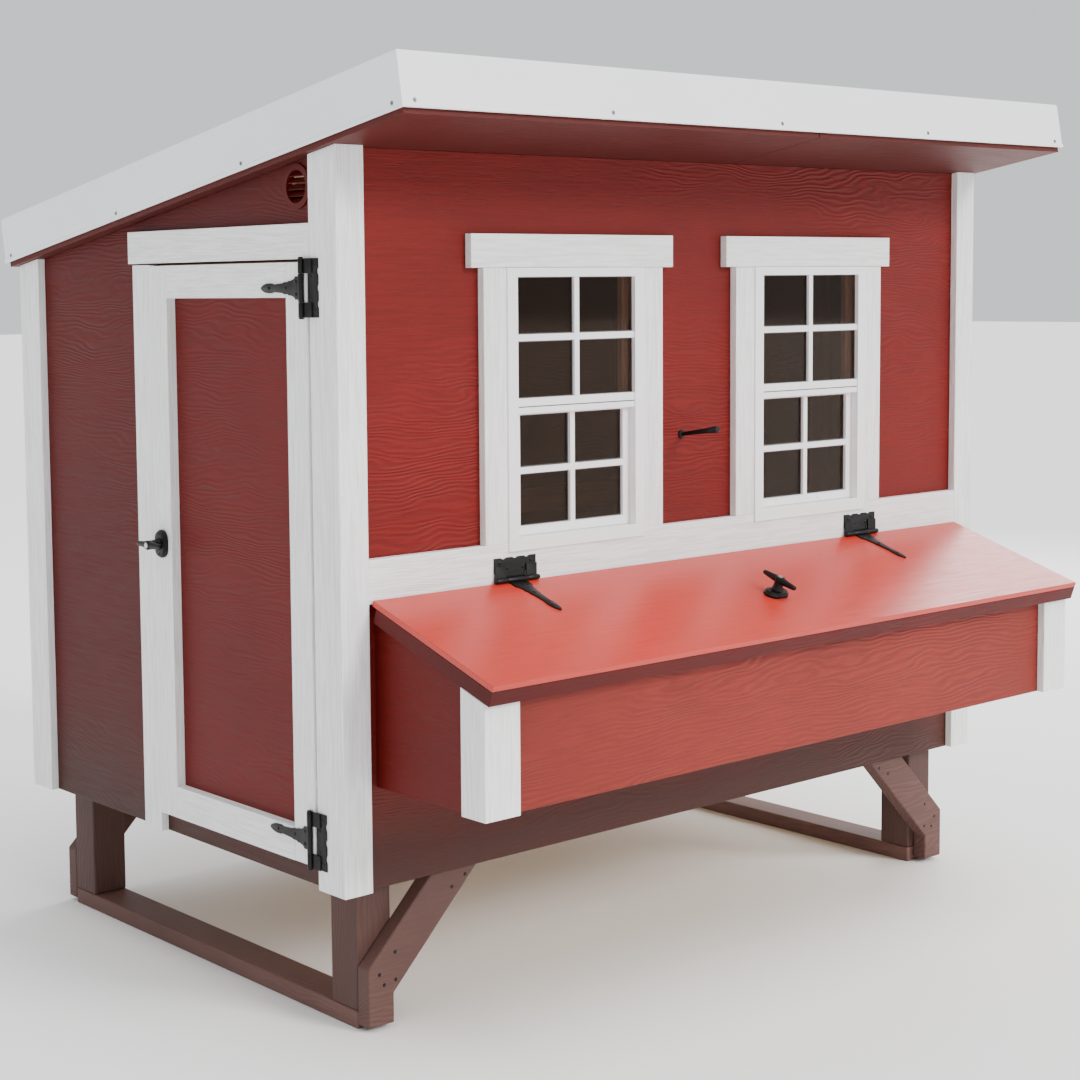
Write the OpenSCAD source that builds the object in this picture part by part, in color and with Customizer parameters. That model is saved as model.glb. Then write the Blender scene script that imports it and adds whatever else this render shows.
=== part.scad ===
// Chicken coop on two skids: a framed house with one sloping roof, a side door,
// two sliding windows and a nest box with a lid along the front.
// +X runs along the front wall, -Y is the front, +Z is up and the ground is z = 0.

/* [House] */
// Width over the siding
body_w = 2006; // [1700:2:2400]
// Depth over the siding
body_d = 1230; // [1030:2:1480]
// Height of the walls' bottom edge above the ground
floor_z = 300; // [250:2:360]
// Height of the front wall
wall_h = 1480; // [1440:2:1780]
// Roof slope in degrees
roof_pitch = 9.6; // [6:0.1:11]

/* [Boards] */
// Siding thickness
siding_t = 11; // [9:0.5:14]
// Trim board width
trim_w = 70; // [58:1:84]
// Trim board thickness
trim_t = 19; // [16:0.5:23]
// Stud width and depth
stud = 38; // [32:1:46]
// Floor deck thickness
deck_t = 12; // [10:0.5:15]
// Gap between a board and the opening it closes
seat_gap = 0.5; // [0.3:0.1:1]

/* [Skids] */
// Skid rail width
rail_w = 89; // [75:1:100]
// Skid rail thickness
rail_h = 38; // [32:1:46]
// Post side
post_w = 88; // [74:1:100]
// Brace board width
brace_w = 89; // [75:1:106]
// Brace board thickness
brace_t = 38; // [32:1:46]
// Inset of the skids from the corner trim's side face
skid_inset = 75; // [55:1:100]
// Brace's lowest point above the ground
brace_lift = 10; // [8:1:14]
// Height of the brace's upright outer end
brace_foot_h = 122; // [110:1:130]
// Width of the brace's level foot
brace_foot_w = 66; // [56:1:76]

/* [Roof] */
// Roof past the front siding, along the slope
roof_front = 265; // [220:1:320]
// Roof past the back siding, along the slope
roof_back = 42; // [35:1:60]
// Roof past the side siding
roof_side = 43; // [35:1:60]
// Rafter depth
rafter_h = 89; // [74:1:106]
// Soffit board thickness
soffit_t = 12; // [10:0.5:15]
// Roof deck thickness
roof_deck_t = 15; // [12:0.5:18]
// Sheet steel thickness on the roof and its edges
sheet_t = 1.5; // [1:0.1:2]
// Fascia's lower edge above the soffit's underside
fascia_lift = 10; // [8:0.5:12]

/* [Side door] */
// Door width
door_w = 582; // [500:1:690]
// Door height
door_h = 1213; // [1030:1:1240]
// Door's lower edge above the walls' bottom edge
door_lift = 46; // [40:1:56]
// Door frame board width
stile_w = 70; // [58:1:84]
// Door frame board thickness
door_board_t = 22; // [18:0.5:24]
// Door panel thickness
door_panel_t = 9; // [7:0.5:10]
// Door's face in front of the trim's face
door_proud = 3; // [2:0.5:4]
// Gap beside the door at its hinges
door_hinge_gap = 6; // [5:0.5:8]
// Gap round the door's other edges
door_gap = 3; // [2:0.5:4]

/* [Windows] */
// Window frame width over its flange
win_w = 400; // [340:1:470]
// Window frame height over its flange
win_h = 591; // [560:1:620]
// Distance of each window's middle from the house's middle
win_x = 383; // [360:1:420]
// Overlap of the window flange on the trim beside it
win_lap = 7.5; // [5:0.5:9]
// Width of the window frame's body
win_bar = 19; // [15:0.5:23]
// Width of the sash bars
sash_bar = 20; // [16:0.5:24]
// Width of the bars between the panes
muntin_w = 14; // [10:0.5:17]
// Glass thickness
glass_t = 3; // [2.5:0.1:4]
// Sash thickness
sash_t = 15; // [12:0.5:18]

/* [Nest box] */
// Nest box width over its side panels
nest_w = 1852; // [1560:2:1860]
// Nest box depth in front of the siding
nest_d = 336; // [280:1:400]
// Height of the nest box's bottom above the walls' bottom edge
nest_lift = 208; // [170:1:240]
// Number of nests
nests = 6; // [4:2:8]
// Height of the lid's back edge above the walls' bottom edge
lid_lift = 593; // [575:1:605]
// Lid slope in degrees
lid_pitch = 18.5; // [14:0.1:22]
// Lid past the nest box's front panel
lid_front = 46; // [40:1:60]
// Lid panel thickness
lid_t = 12; // [10:0.5:15]
// Depth of the lid's edge boards below its panel
lid_edge_h = 31; // [26:1:37]
// Height of the white band above the nest box
band_h = 89; // [75:1:95]

/* [Hardware] */
// Hinge barrel radius
barrel_r = 5.8; // [5:0.1:5.9]
// Hinge pin radius
pin_r = 3; // [2.5:0.1:3.6]
// Running clearance of a pin in its hole, on the radius
pin_gap = 0.08; // [0.04:0.01:0.1]
// Hinge plate thickness
plate_t = 3; // [2.5:0.1:3.5]
// Hinge leaf height
leaf_h = 116; // [100:1:130]
// Hinge strap length from the pin
strap_l = 142; // [120:1:170]
// Latch base length
latch_l = 62; // [54:1:72]
// Latch base width
latch_w = 42; // [36:1:50]
// Latch handle length
handle_l = 95; // [80:1:110]
// Latch handle's height above its base
handle_h = 42; // [36:1:50]
// Latch spindle radius
spindle_r = 6; // [5:0.1:7]
// Length of the lid's stop peg
stop_l = 112; // [95:1:130]

/* [Vents] */
// Vent radius over its rim
vent_r = 45; // [40:1:50]
// Radius of the vent's louvred middle
vent_hole_r = 33; // [28:1:38]

/* [Hen door] */
// Hen door opening width
pop_w = 280; // [240:1:330]
// Hen door opening height
pop_h = 330; // [280:1:380]

/* [Hidden] */
$fn = 48;
red = [0.55, 0.13, 0.10];
white = [0.90, 0.91, 0.92];
brown = [0.40, 0.24, 0.20];
black = [0.05, 0.05, 0.05];
timber = [0.78, 0.62, 0.42];
clear = [0.25, 0.30, 0.33, 0.5];
steel = [0.3, 0.3, 0.32];

half_w = body_w / 2;
trim_x = half_w + trim_t;
in_x = half_w - siding_t;
lid_reach = nest_d + lid_front;
roof_len = body_d / cos(roof_pitch);
fascia_x = half_w + roof_side;
rafter_z = soffit_t;
roof_deck_z = rafter_z + rafter_h;
roof_top = roof_deck_z + roof_deck_t;
back_reach = (roof_len + roof_back) * cos(roof_pitch) + (roof_top + sheet_t) * sin(roof_pitch);
front_y = (lid_reach - back_reach) / 2;
back_y = front_y + body_d;
wall_top = floor_z + wall_h;
joist_h = stud;
deck_z = floor_z + joist_h;
deck_top = deck_z + deck_t;

screw_h = 2.2;
handle_top = handle_h + 3;
left_reach = max(fascia_x + screw_h, trim_x + door_proud + handle_top);
mid_x = (left_reach - fascia_x - screw_h) / 2;

// Door, on the left wall: y0 is its hinge edge.
door_y0 = front_y + trim_w + door_hinge_gap;
door_y1 = door_y0 + door_w;
door_z0 = floor_z + door_lift;
door_z1 = door_z0 + door_h;
door_face = -(trim_x + door_proud);
door_back = door_face + door_board_t + door_panel_t;
hinge_off = 6;
leaf_off = hinge_off + door_proud;
door_axis_x = -(trim_x + leaf_off);
door_axis_y = door_y0 + 9;
door_hinge_zs = [door_z0 + 56, door_z1 - 51];
door_latch_y = door_y1 - stile_w / 2;
door_latch_z = door_z0 + door_h / 2;

// Windows.
lid_z = floor_z + lid_lift;
band_z = lid_z - 10;
band_top = band_z + band_h;
win_sill = 18;
win_z0 = band_top - win_sill;
win_z1 = win_z0 + win_h;
win_side_w = trim_w;
win_gap_w = win_w - 2 * win_lap;
win_body_w = win_gap_w - 3;
win_proud = 4;
win_depth = 48;
win_face_y = front_y - trim_t - win_proud;
win_in_w = win_body_w - 2 * win_bar;
win_body_z0 = band_top + 1.5;
win_body_z1 = win_z1 - 1.5;
win_in_z0 = win_z0 + 28;
win_in_z1 = win_z1 - 19;
win_mid_z = (win_in_z0 + win_in_z1) / 2;
meet_z = win_mid_z - 13;
meet_h = 32;
upper_y = win_face_y + 3;
lower_y = upper_y + sash_t + 1;
sash_w = win_in_w - 1;
sash_z1 = win_mid_z + 3;
sash_travel = win_in_z1 - sash_z1 - 4;

// Nest box.
nest_hw = nest_w / 2;
nest_y = front_y - nest_d;
nest_z = floor_z + nest_lift;
nest_top = nest_z + deck_t;
band_face = front_y - trim_t;
lid_hw = nest_hw + trim_t + 2;
lid_back = lid_t * tan(lid_pitch) + 1;
lid_len = (lid_reach - trim_t) / cos(lid_pitch);
lid_axis_y = band_face - leaf_off;
lid_axis_z = lid_z - leaf_off * tan(lid_pitch) + hinge_off / cos(lid_pitch);
lid_hinge_xs = [-567, 567];
lid_latch_x = 18;
lid_latch_d = 220;
nest_bay = (nest_w - 2 * siding_t) / nests;
divider_t = 12;
cam_drop = 50;
cam_l = 36;
cam_w = 18;
cam_t = 4;
stop_x = -42;
stop_z = floor_z + 870;

// Vents and the hen door.
vent_y = front_y + 130;
vent_z = wall_top - (vent_y - front_y) * tan(roof_pitch) - (vent_r + 4) / cos(roof_pitch);
pop_y = back_y - 400;
pop_z = floor_z + 100;
pop_panel_w = pop_w + 24;
pop_panel_h = pop_h + 24;
pop_t = 12;
pop_gap = 1;

// Roosts.
roost_z = floor_z + 600;
roost_y = back_y - 200;

// Height of the walls' top at y, a hair below the soffit.
function soffit_z(y) = wall_top - (y - front_y) * tan(roof_pitch) - 0.1;

// Height of the lid's underside at y, less the seat gap.
function lid_under(y) = lid_z - (band_face - y) * tan(lid_pitch)
    - (lid_t + seat_gap) / cos(lid_pitch);

// A block between two corners.
module block(x0, x1, y0, y1, z0, z1) {
    translate([x0, y0, z0]) cube([x1 - x0, y1 - y0, z1 - z0]);
}

// A profile in Y and Z, from x0 to x1.
module profile(x0, x1, points) {
    translate([x0, 0, 0]) rotate([90, 0, 90]) linear_extrude(x1 - x0) polygon(points);
}

// A block whose top follows the soffit.
module slab(x0, x1, y0, y1, z0) {
    profile(x0, x1, [[y0, z0], [y1, z0], [y1, soffit_z(y1)], [y0, soffit_z(y0)]]);
}

// Places children in the roof's own frame: y runs down the slope, z is square to it.
module on_roof() {
    translate([0, front_y, wall_top]) rotate([-roof_pitch, 0, 0]) children();
}

// Places children in the lid's own frame: y runs up the slope from its back edge's line.
module on_lid() {
    translate([0, band_face, lid_z]) rotate([lid_pitch, 0, 0]) children();
}

// Colours a piece and moves it from the house's own middle to the middle of the whole.
module in_place(c) {
    color(c) translate([mid_x, 0, 0]) children();
}

module both_sides() {
    children();
    mirror([1, 0, 0]) children();
}

// ---- Skids ----

skid_x = trim_x - skid_inset;
skid_y0 = front_y + siding_t + brace_t - 4;
skid_y1 = back_y - siding_t - brace_t + 4;

module skid_rail(side) {
    x0 = side > 0 ? skid_x - rail_w : -skid_x;
    in_place(brown) block(x0, x0 + rail_w, skid_y0, skid_y1, 0, rail_h);
}

module left_skid_rail() { skid_rail(-1); }

module right_skid_rail() { skid_rail(1); }

module leg_posts() {
    in_place(brown) both_sides()
        for (y = [skid_y0, skid_y1 - post_w])
            block(skid_x - post_w, skid_x, y, y + post_w, rail_h, floor_z);
}

// A board at 45 degrees, cut level at its foot and at the floor.
module brace(y) {
    rise = brace_w / cos(45);
    top = brace_lift + brace_foot_h;
    reach = floor_z - top;
    translate([0, y, 0]) rotate([90, 0, 0]) linear_extrude(brace_t)
        polygon([[skid_x, brace_lift], [skid_x, top], [skid_x - reach, floor_z],
            [skid_x - reach - rise, floor_z], [skid_x - brace_foot_w, brace_lift + brace_foot_w
            + brace_foot_h - rise], [skid_x - brace_foot_w, brace_lift]]);
}

module leg_braces() {
    in_place(brown) both_sides() {
        brace(skid_y0);
        brace(skid_y1 + brace_t);
    }
}

// ---- Floor ----

module floor_joists() {
    y0 = front_y + siding_t;
    y1 = back_y - siding_t;
    in_place(timber) {
        block(-in_x, in_x, y0, y0 + stud, floor_z, deck_z);
        block(-in_x, in_x, y1 - stud, y1, floor_z, deck_z);
        for (i = [0 : 4]) {
            x = -in_x + i * (2 * in_x - stud) / 4;
            block(x, x + stud, y0 + stud, y1 - stud, floor_z, deck_z);
        }
    }
}

module floor_deck() {
    in_place(timber)
        block(-in_x, in_x, front_y + siding_t, back_y - siding_t, deck_z, deck_top);
}

// ---- Wall framing ----

nest_head_z = lid_z - 15;
plate_z = deck_top + stud;

// A rail under the soffit, following its slope.
module top_plate(x0, x1, y0, y1) {
    drop = stud / cos(roof_pitch);
    profile(x0, x1, [[y0, soffit_z(y0) - drop], [y1, soffit_z(y1) - drop],
        [y1, soffit_z(y1)], [y0, soffit_z(y0)]]);
}

// A stud up to the top plate, let into it a little.
module upright(x, y, z0) {
    drop = stud / cos(roof_pitch) - 5;
    profile(x, x + stud, [[y, z0], [y + stud, z0],
        [y + stud, soffit_z(y + stud) - drop], [y, soffit_z(y) - drop]]);
}

module wall_studs() {
    fy = front_y + siding_t;
    by = back_y - siding_t - stud;
    sx = in_x - stud;
    open_y0 = door_y0 - door_hinge_gap + door_gap;
    open_y1 = door_y1 + door_gap;
    head_z = door_z1 + door_gap;
    in_place(timber) {
        // Both long walls: bottom plate, corner studs and top plate.
        for (y = [fy, by]) {
            block(-in_x, in_x, y, y + stud, deck_top, plate_z);
            top_plate(-sx, sx, y, y + stud);
            for (x = [-in_x, sx]) upright(x, y, plate_z - 5);
        }
        for (x = [-in_x, sx]) top_plate(x, x + stud, fy, by + stud);
        // Studs of the left wall, with the side door's head and hinge stud.
        for (y = [open_y1, (open_y1 + by) / 2]) upright(-in_x, y, deck_top);
        block(-in_x, -sx, fy + stud - 1, open_y0, deck_top + 1, head_z + 1);
        block(-in_x, -sx, fy + stud - 1, open_y1 + 1, head_z, head_z + stud);
        // Studs of the right wall, beside the hen door.
        for (y = [pop_y - pop_w / 2 - stud, pop_y + pop_w / 2, (fy + pop_y) / 2])
            upright(sx, y, deck_top);
        // Head over the nest opening, and the windows' studs and heads.
        block(-sx - 1, sx + 1, fy, fy + stud, nest_head_z, nest_head_z + stud);
        for (s = [-1, 1]) {
            wx = s * win_x;
            ww = win_gap_w / 2;
            for (x = [wx - ww - stud, wx + ww]) upright(x, fy, nest_head_z + stud - 5);
            block(wx - ww - 1, wx + ww + 1, fy, fy + stud, win_z1 + 1, win_z1 + 1 + stud);
        }
    }
}

// ---- Siding ----

module front_siding() {
    in_place(red) difference() {
        slab(-half_w, half_w, front_y, front_y + siding_t, floor_z);
        for (s = [-1, 1])
            block(s * win_x - win_gap_w / 2, s * win_x + win_gap_w / 2,
                front_y - 1, front_y + siding_t + 1, band_top, win_z1);
        block(-nest_hw + siding_t + 5, nest_hw - siding_t - 5,
            front_y - 1, front_y + siding_t + 1, nest_top + 40, nest_head_z);
    }
}

module back_siding() {
    in_place(red) slab(-half_w, half_w, back_y - siding_t, back_y, floor_z);
}

module left_siding() {
    in_place(red) difference() {
        slab(-half_w, -in_x, front_y + siding_t, back_y - siding_t, floor_z);
        block(-half_w - 1, -in_x + 1, door_y0 - door_hinge_gap + door_gap,
            door_y1 + door_gap, door_z0 - door_gap, door_z1 + door_gap);
        translate([-half_w, vent_y, vent_z]) rotate([0, 90, 0])
            cylinder(r = vent_r - 6, h = 3 * siding_t, center = true);
    }
}

module right_siding() {
    in_place(red) difference() {
        slab(in_x, half_w, front_y + siding_t, back_y - siding_t, floor_z);
        block(in_x - 1, half_w + 1, pop_y - pop_w / 2, pop_y + pop_w / 2, pop_z, pop_z + pop_h);
        translate([half_w, vent_y, vent_z]) rotate([0, 90, 0])
            cylinder(r = vent_r - 6, h = 3 * siding_t, center = true);
    }
}

// ---- Trim ----

module front_corner_trim() {
    in_place(white) both_sides() {
        slab(trim_x - trim_w, trim_x, front_y - trim_t, front_y, floor_z);
        slab(half_w, trim_x, front_y, front_y + trim_w, floor_z);
    }
}

module back_corner_trim() {
    in_place(white) both_sides() {
        slab(trim_x - trim_w, trim_x, back_y, back_y + trim_t, floor_z);
        slab(half_w, trim_x, back_y - trim_w, back_y, floor_z);
    }
}

module front_band() {
    x = trim_x - trim_w;
    in_place(white) block(-x, x, band_face, front_y, band_z, band_top);
}

module window_trim(s) {
    wx = s * win_x;
    side = win_gap_w / 2;
    head = side + win_side_w + 33;
    in_place(white) {
        block(wx - head, wx + head, band_face, front_y, win_z1, win_z1 + trim_w);
        for (x = [wx - side - win_side_w, wx + side])
            block(x, x + win_side_w, band_face, front_y, band_top, win_z1);
    }
}

module left_window_trim() { window_trim(-1); }

module right_window_trim() { window_trim(1); }

module door_trim() {
    y = door_y1 + door_gap;
    head_z = door_z1 + door_gap;
    in_place(white) intersection() {
        slab(-trim_x - 1, -half_w + 1, front_y, back_y, floor_z - 1);
        union() {
            block(-trim_x, -half_w, front_y + trim_w, y + trim_w + 18, head_z,
                head_z + trim_w + 3);
            block(-trim_x, -half_w, y, y + trim_w, floor_z, head_z);
        }
    }
}

// Strips behind the door's edges, which it closes against.
stop_t = 14;
stop_w = 18;
stop_face = door_back + 2.5;

module door_stop() {
    y0 = door_y0 - door_hinge_gap + door_gap;
    y1 = door_y1 + door_gap;
    z1 = door_z1 + door_gap;
    in_place(timber) {
        block(stop_face, stop_face + stop_t, y0, y0 + 14, deck_top, z1);
        block(stop_face, stop_face + stop_t, y1 - stop_w, y1, deck_top, z1);
        block(stop_face, stop_face + stop_t, y0 + 14, y1 - stop_w, z1 - stop_w, z1);
    }
}

// ---- Windows ----

// A frame with its opening between two heights.
module ring(x, w, bar, y0, y1, z0, z1, bar_low, bar_high) {
    difference() {
        block(x - w / 2, x + w / 2, y0, y1, z0, z1);
        block(x - w / 2 + bar, x + w / 2 - bar, y0 - 1, y1 + 1, z0 + bar_low, z1 - bar_high);
    }
}

// Bars that part a pane into two by two.
module muntins(x, w, y0, y1, z0, z1) {
    m = muntin_w / 2;
    zm = (z0 + z1) / 2;
    block(x - m, x + m, y0, y1, z0, z1);
    block(x - w / 2, x + w / 2, y0, y1, zm - m, zm + m);
}

module window_frame(s) {
    x = s * win_x;
    back = win_face_y + win_depth;
    guide = lower_y + sash_t + 1;
    in_place(white) {
        ring(x, win_w, win_lap + 1.5 + win_bar, win_face_y, win_face_y + win_proud,
            win_z0, win_z1, win_in_z0 - win_z0, win_z1 - win_in_z1);
        ring(x, win_body_w, win_bar, win_face_y + win_proud, back, win_body_z0, win_body_z1,
            win_in_z0 - win_body_z0, win_body_z1 - win_in_z1);
        // Meeting rail and bars of the fixed upper light.
        block(x - win_in_w / 2, x + win_in_w / 2, upper_y, upper_y + sash_t,
            meet_z, meet_z + meet_h);
        muntins(x, win_in_w, upper_y + 1, upper_y + 8, meet_z + meet_h, win_in_z1);
        // Guides that keep the lower sash in.
        for (gx = [x - win_in_w / 2, x + win_in_w / 2 - 8])
            block(gx, gx + 8, guide, back, win_in_z0, win_in_z1);
    }
}

module left_window_frame() { window_frame(-1); }

module right_window_frame() { window_frame(1); }

module upper_glass(s) {
    x = s * win_x;
    z0 = meet_z + meet_h;
    in_place(clear) block(x - win_in_w / 2, x + win_in_w / 2, upper_y + 8, upper_y + 8 + glass_t,
        z0, win_in_z1);
}

module left_upper_glass() { upper_glass(-1); }

module right_upper_glass() { upper_glass(1); }

module lower_sash(s) {
    x = s * win_x;
    z0 = win_in_z0 + seat_gap;
    in_place(white) {
        ring(x, sash_w, sash_bar, lower_y, lower_y + sash_t, z0, sash_z1, sash_bar, sash_bar);
        muntins(x, sash_w - 2 * sash_bar, lower_y, lower_y + 8, z0 + sash_bar, sash_z1 - sash_bar);
    }
}

module left_lower_sash() { lower_sash(-1); }

module right_lower_sash() { lower_sash(1); }

module lower_glass(s) {
    x = s * win_x;
    w = sash_w / 2 - sash_bar;
    in_place(clear) block(x - w, x + w, lower_y + 8, lower_y + 8 + glass_t,
        win_in_z0 + seat_gap + sash_bar, sash_z1 - sash_bar);
}

module left_lower_glass() { lower_glass(-1); }

module right_lower_glass() { lower_glass(1); }

// ---- Vents ----

// A round rim with sloping louvres, facing +X.
module vent() {
    blades = 5;
    pitch = 2 * vent_hole_r / blades;
    rotate([0, 90, 0]) difference() {
        union() {
            cylinder(r = vent_r, h = 4);
            translate([0, 0, -siding_t]) cylinder(r = vent_r - 7, h = siding_t + 1);
        }
        translate([0, 0, -siding_t - 1]) cylinder(r = vent_hole_r, h = siding_t + 6);
    }
    intersection() {
        rotate([0, 90, 0]) translate([0, 0, -siding_t]) cylinder(r = vent_hole_r + 1, h = siding_t + 2);
        for (i = [0 : blades - 1])
            translate([-siding_t / 2, 0, -vent_hole_r + pitch * (i + 0.5)]) rotate([0, 40, 0])
                cube([18, 2 * vent_r, 1.6], center = true);
    }
}

module wall_vents() {
    in_place(red) both_sides() translate([half_w, vent_y, vent_z]) vent();
}

// ---- Nest box ----

module nest_front() {
    y1 = nest_y + siding_t;
    in_place(red) profile(-nest_hw, nest_hw, [[nest_y, nest_z], [y1, nest_z],
        [y1, lid_under(y1)], [nest_y, lid_under(nest_y)]]);
}

// An upright board that fits under the lid, from the front panel to the wall.
module nest_upright(x0, x1, z0) {
    y0 = nest_y + siding_t;
    profile(x0, x1, [[y0, z0], [front_y, z0], [front_y, lid_under(band_face)],
        [band_face, lid_under(band_face)], [y0, lid_under(y0)]]);
}

module nest_sides() {
    in_place(red) both_sides() nest_upright(nest_hw - siding_t, nest_hw, nest_z);
}

module nest_floor() {
    x = nest_hw - siding_t;
    in_place(timber) block(-x, x, nest_y + siding_t, front_y, nest_z, nest_top);
}

// Window in the middle divider that the lid's latch turns into.
slot_y0 = band_face - (lid_latch_d + cam_l + 5) * cos(lid_pitch) - cam_drop * sin(lid_pitch);
slot_y1 = band_face - (lid_latch_d - cam_w / 2 - 5) * cos(lid_pitch) + cam_drop * sin(lid_pitch);
slot_z1 = lid_z - (lid_latch_d - cam_w / 2) * sin(lid_pitch) - (cam_drop - 4) * cos(lid_pitch);
slot_z0 = lid_z - (lid_latch_d + cam_l) * sin(lid_pitch) - (cam_drop + cam_t + 4) * cos(lid_pitch);

module latch_window(x0, x1) {
    block(x0, x1, slot_y0, slot_y1, slot_z0, slot_z1);
}

module nest_dividers() {
    in_place(timber) difference() {
        for (i = [1 : nests - 1]) {
            x = -nest_hw + siding_t + i * nest_bay;
            nest_upright(x - divider_t / 2, x + divider_t / 2, nest_top);
        }
        latch_window(-divider_t, divider_t);
    }
}

trim_under = lid_edge_h / cos(lid_pitch) + 1;

// A board beside the nest box's corner, cut to clear the lid's edge boards.
module nest_trim_board(x0, x1, y0, y1) {
    profile(x0, x1, [[y0, nest_z], [y1, nest_z], [y1, lid_under(y1) - trim_under],
        [y0, lid_under(y0) - trim_under]]);
}

module nest_corner_trim() {
    y0 = nest_y - trim_t;
    in_place(white) both_sides() {
        nest_trim_board(nest_hw, nest_hw + trim_t, y0, y0 + trim_w);
        nest_trim_board(nest_hw - trim_w, nest_hw, y0, nest_y);
    }
}

module lid_panel() {
    in_place(red) difference() {
        on_lid() block(-lid_hw, lid_hw, -lid_len, -lid_back, -lid_t, 0);
        on_lid() translate([lid_latch_x, -lid_latch_d, -lid_t - 1])
            cylinder(r = spindle_r + 1, h = lid_t + 2);
    }
}

module lid_edging() {
    z0 = -lid_t - lid_edge_h;
    side_t = lid_hw - nest_hw - 1;
    in_place(red) on_lid() {
        block(-lid_hw, lid_hw, -lid_len, -lid_len + trim_t, z0, -lid_t);
        both_sides() block(lid_hw - side_t, lid_hw, -lid_len + trim_t, -trim_t, z0, -lid_t);
    }
}

// ---- Side door ----

module door_boards() {
    x1 = door_face + door_board_t;
    in_place(white) {
        block(door_face, x1, door_y0, door_y0 + stile_w, door_z0, door_z1);
        difference() {
            block(door_face, x1, door_y1 - stile_w, door_y1, door_z0, door_z1);
            door_spindle_hole();
        }
        for (z = [door_z0, door_z1 - stile_w])
            block(door_face, x1, door_y0 + stile_w, door_y1 - stile_w, z, z + stile_w);
    }
}

module door_spindle_hole() {
    translate([door_face - 1, door_latch_y, door_latch_z]) rotate([0, 90, 0])
        cylinder(r = spindle_r + 1, h = door_board_t + door_panel_t + 2);
}

module door_panel() {
    in_place(red) difference() {
        block(door_face + door_board_t, door_back, door_y0, door_y1, door_z0, door_z1);
        door_spindle_hole();
    }
}

// ---- Hinges ----
// In a hinge's own frame the pin is the Z axis, the wall is towards +X,
// the leaf lies towards -Y and the strap towards +Y.

knuckle_h = 56;

module hole_in_barrel() {
    cylinder(r = pin_r + pin_gap, h = leaf_h + 2, center = true);
}

module leaf() {
    x0 = leaf_off - plate_t;
    end_h = (leaf_h - knuckle_h) / 2 - 0.5;
    difference() {
        union() {
            translate([x0, -47, -leaf_h / 2]) cube([plate_t, 32, leaf_h]);
            for (z = [-leaf_h / 2, leaf_h / 2 - end_h]) {
                translate([0, 0, z]) cylinder(r = barrel_r, h = end_h);
                translate([hinge_off - 3.4, -30, z]) cube([3, 30, end_h]);
                translate([hinge_off - 3.4, -30, z]) cube([leaf_off - hinge_off + 3.4, 15, end_h]);
            }
        }
        hole_in_barrel();
        // Scalloped outer edge.
        for (z = [-leaf_h / 3.6, 0, leaf_h / 3.6])
            translate([x0 - 1, -55, z]) rotate([0, 90, 0]) cylinder(r = 11, h = plate_t + 2);
    }
}

// One edge of a strap: distance from the pin and half width, ending in a rounded spear.
strap_edge = [[0, 23], [24, 23], [27, 19], [32, 16.5], [40, 14.5], [46, 14.5], [51, 12], [62, 12],
    [66, 10], [98, 7.5], [102, 9], [108, 9.8], [122, 9.5], [131, 7.5], [138, 4.5], [142, 1.5]];

module strap_outline() {
    k = strap_l / 142;
    n = len(strap_edge);
    polygon([for (i = [0 : 2 * n - 1]) i < n ? [strap_edge[i][1], strap_edge[i][0] * k]
        : [-strap_edge[2 * n - 1 - i][1], strap_edge[2 * n - 1 - i][0] * k]]);
}

module strap() {
    difference() {
        union() {
            cylinder(r = barrel_r, h = knuckle_h, center = true);
            translate([hinge_off - plate_t, 0, 0]) rotate([0, 90, 0]) linear_extrude(plate_t)
                strap_outline();
        }
        hole_in_barrel();
    }
}

module pin() {
    cylinder(r = pin_r, h = leaf_h + 1, center = true);
    for (z = [-leaf_h / 2 - 3.2, leaf_h / 2 + 0.2])
        translate([0, 0, z]) cylinder(r = barrel_r - 1, h = 3);
}

module at_door_hinges() {
    for (z = door_hinge_zs) translate([door_axis_x, door_axis_y, z]) children();
}

// The lid's hinges lie along X: the leaf stands up the band.
module at_lid_hinges() {
    for (x = lid_hinge_xs) translate([x, lid_axis_y, lid_axis_z])
        multmatrix([[0, 0, -1, 0], [1, 0, 0, 0], [0, -1, 0, 0]]) children();
}

module door_hinge_leaves() { in_place(black) at_door_hinges() leaf(); }

module door_hinge_straps() { in_place(black) at_door_hinges() strap(); }

module door_hinge_pins() { in_place(black) at_door_hinges() pin(); }

module lid_hinge_leaves() { in_place(black) at_lid_hinges() leaf(); }

module lid_hinge_straps() {
    in_place(black) at_lid_hinges() rotate([0, 0, 90 - lid_pitch]) strap();
}

module lid_hinge_pins() { in_place(black) at_lid_hinges() pin(); }

// ---- Latches ----
// In a latch's own frame the spindle is the Z axis and its base lies on z = 0.

base_t = 8;

// A rectangle with fully rounded ends.
module oval(length, width) {
    end_r = width / 2;
    for (s = [-1, 1]) translate([s * (length / 2 - end_r), 0]) circle(r = end_r);
    square([length - width, width], center = true);
}

module latch_base() {
    difference() {
        union() {
            linear_extrude(base_t - 3) oval(latch_l, latch_w);
            linear_extrude(base_t) oval(latch_l - 6, latch_w - 6);
        }
        translate([0, 0, -1]) cylinder(r = spindle_r + pin_gap, h = base_t + 2);
    }
}

module latch_handle(depth) {
    translate([0, 0, -depth]) cylinder(r = spindle_r, h = depth + 12);
    translate([0, 0, base_t + 0.3]) cylinder(r1 = 12, r2 = 8, h = handle_h - base_t - 6);
    // Cross bar, tapered to both ends.
    for (a = [-90, 90]) translate([0, 0, handle_h - 6]) rotate([a, 0, 0])
        cylinder(r1 = 8, r2 = 4, h = handle_l / 2);
    translate([0, 0, handle_h - 8]) cylinder(r = 8.5, h = 11);
}

module latch_cam(depth) {
    difference() {
        translate([-cam_w / 2, -cam_w / 2, -depth]) cube([cam_w / 2 + cam_l, cam_w, cam_t]);
        translate([0, 0, -depth - 1]) cylinder(r = spindle_r, h = cam_t + 2);
    }
}

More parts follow.
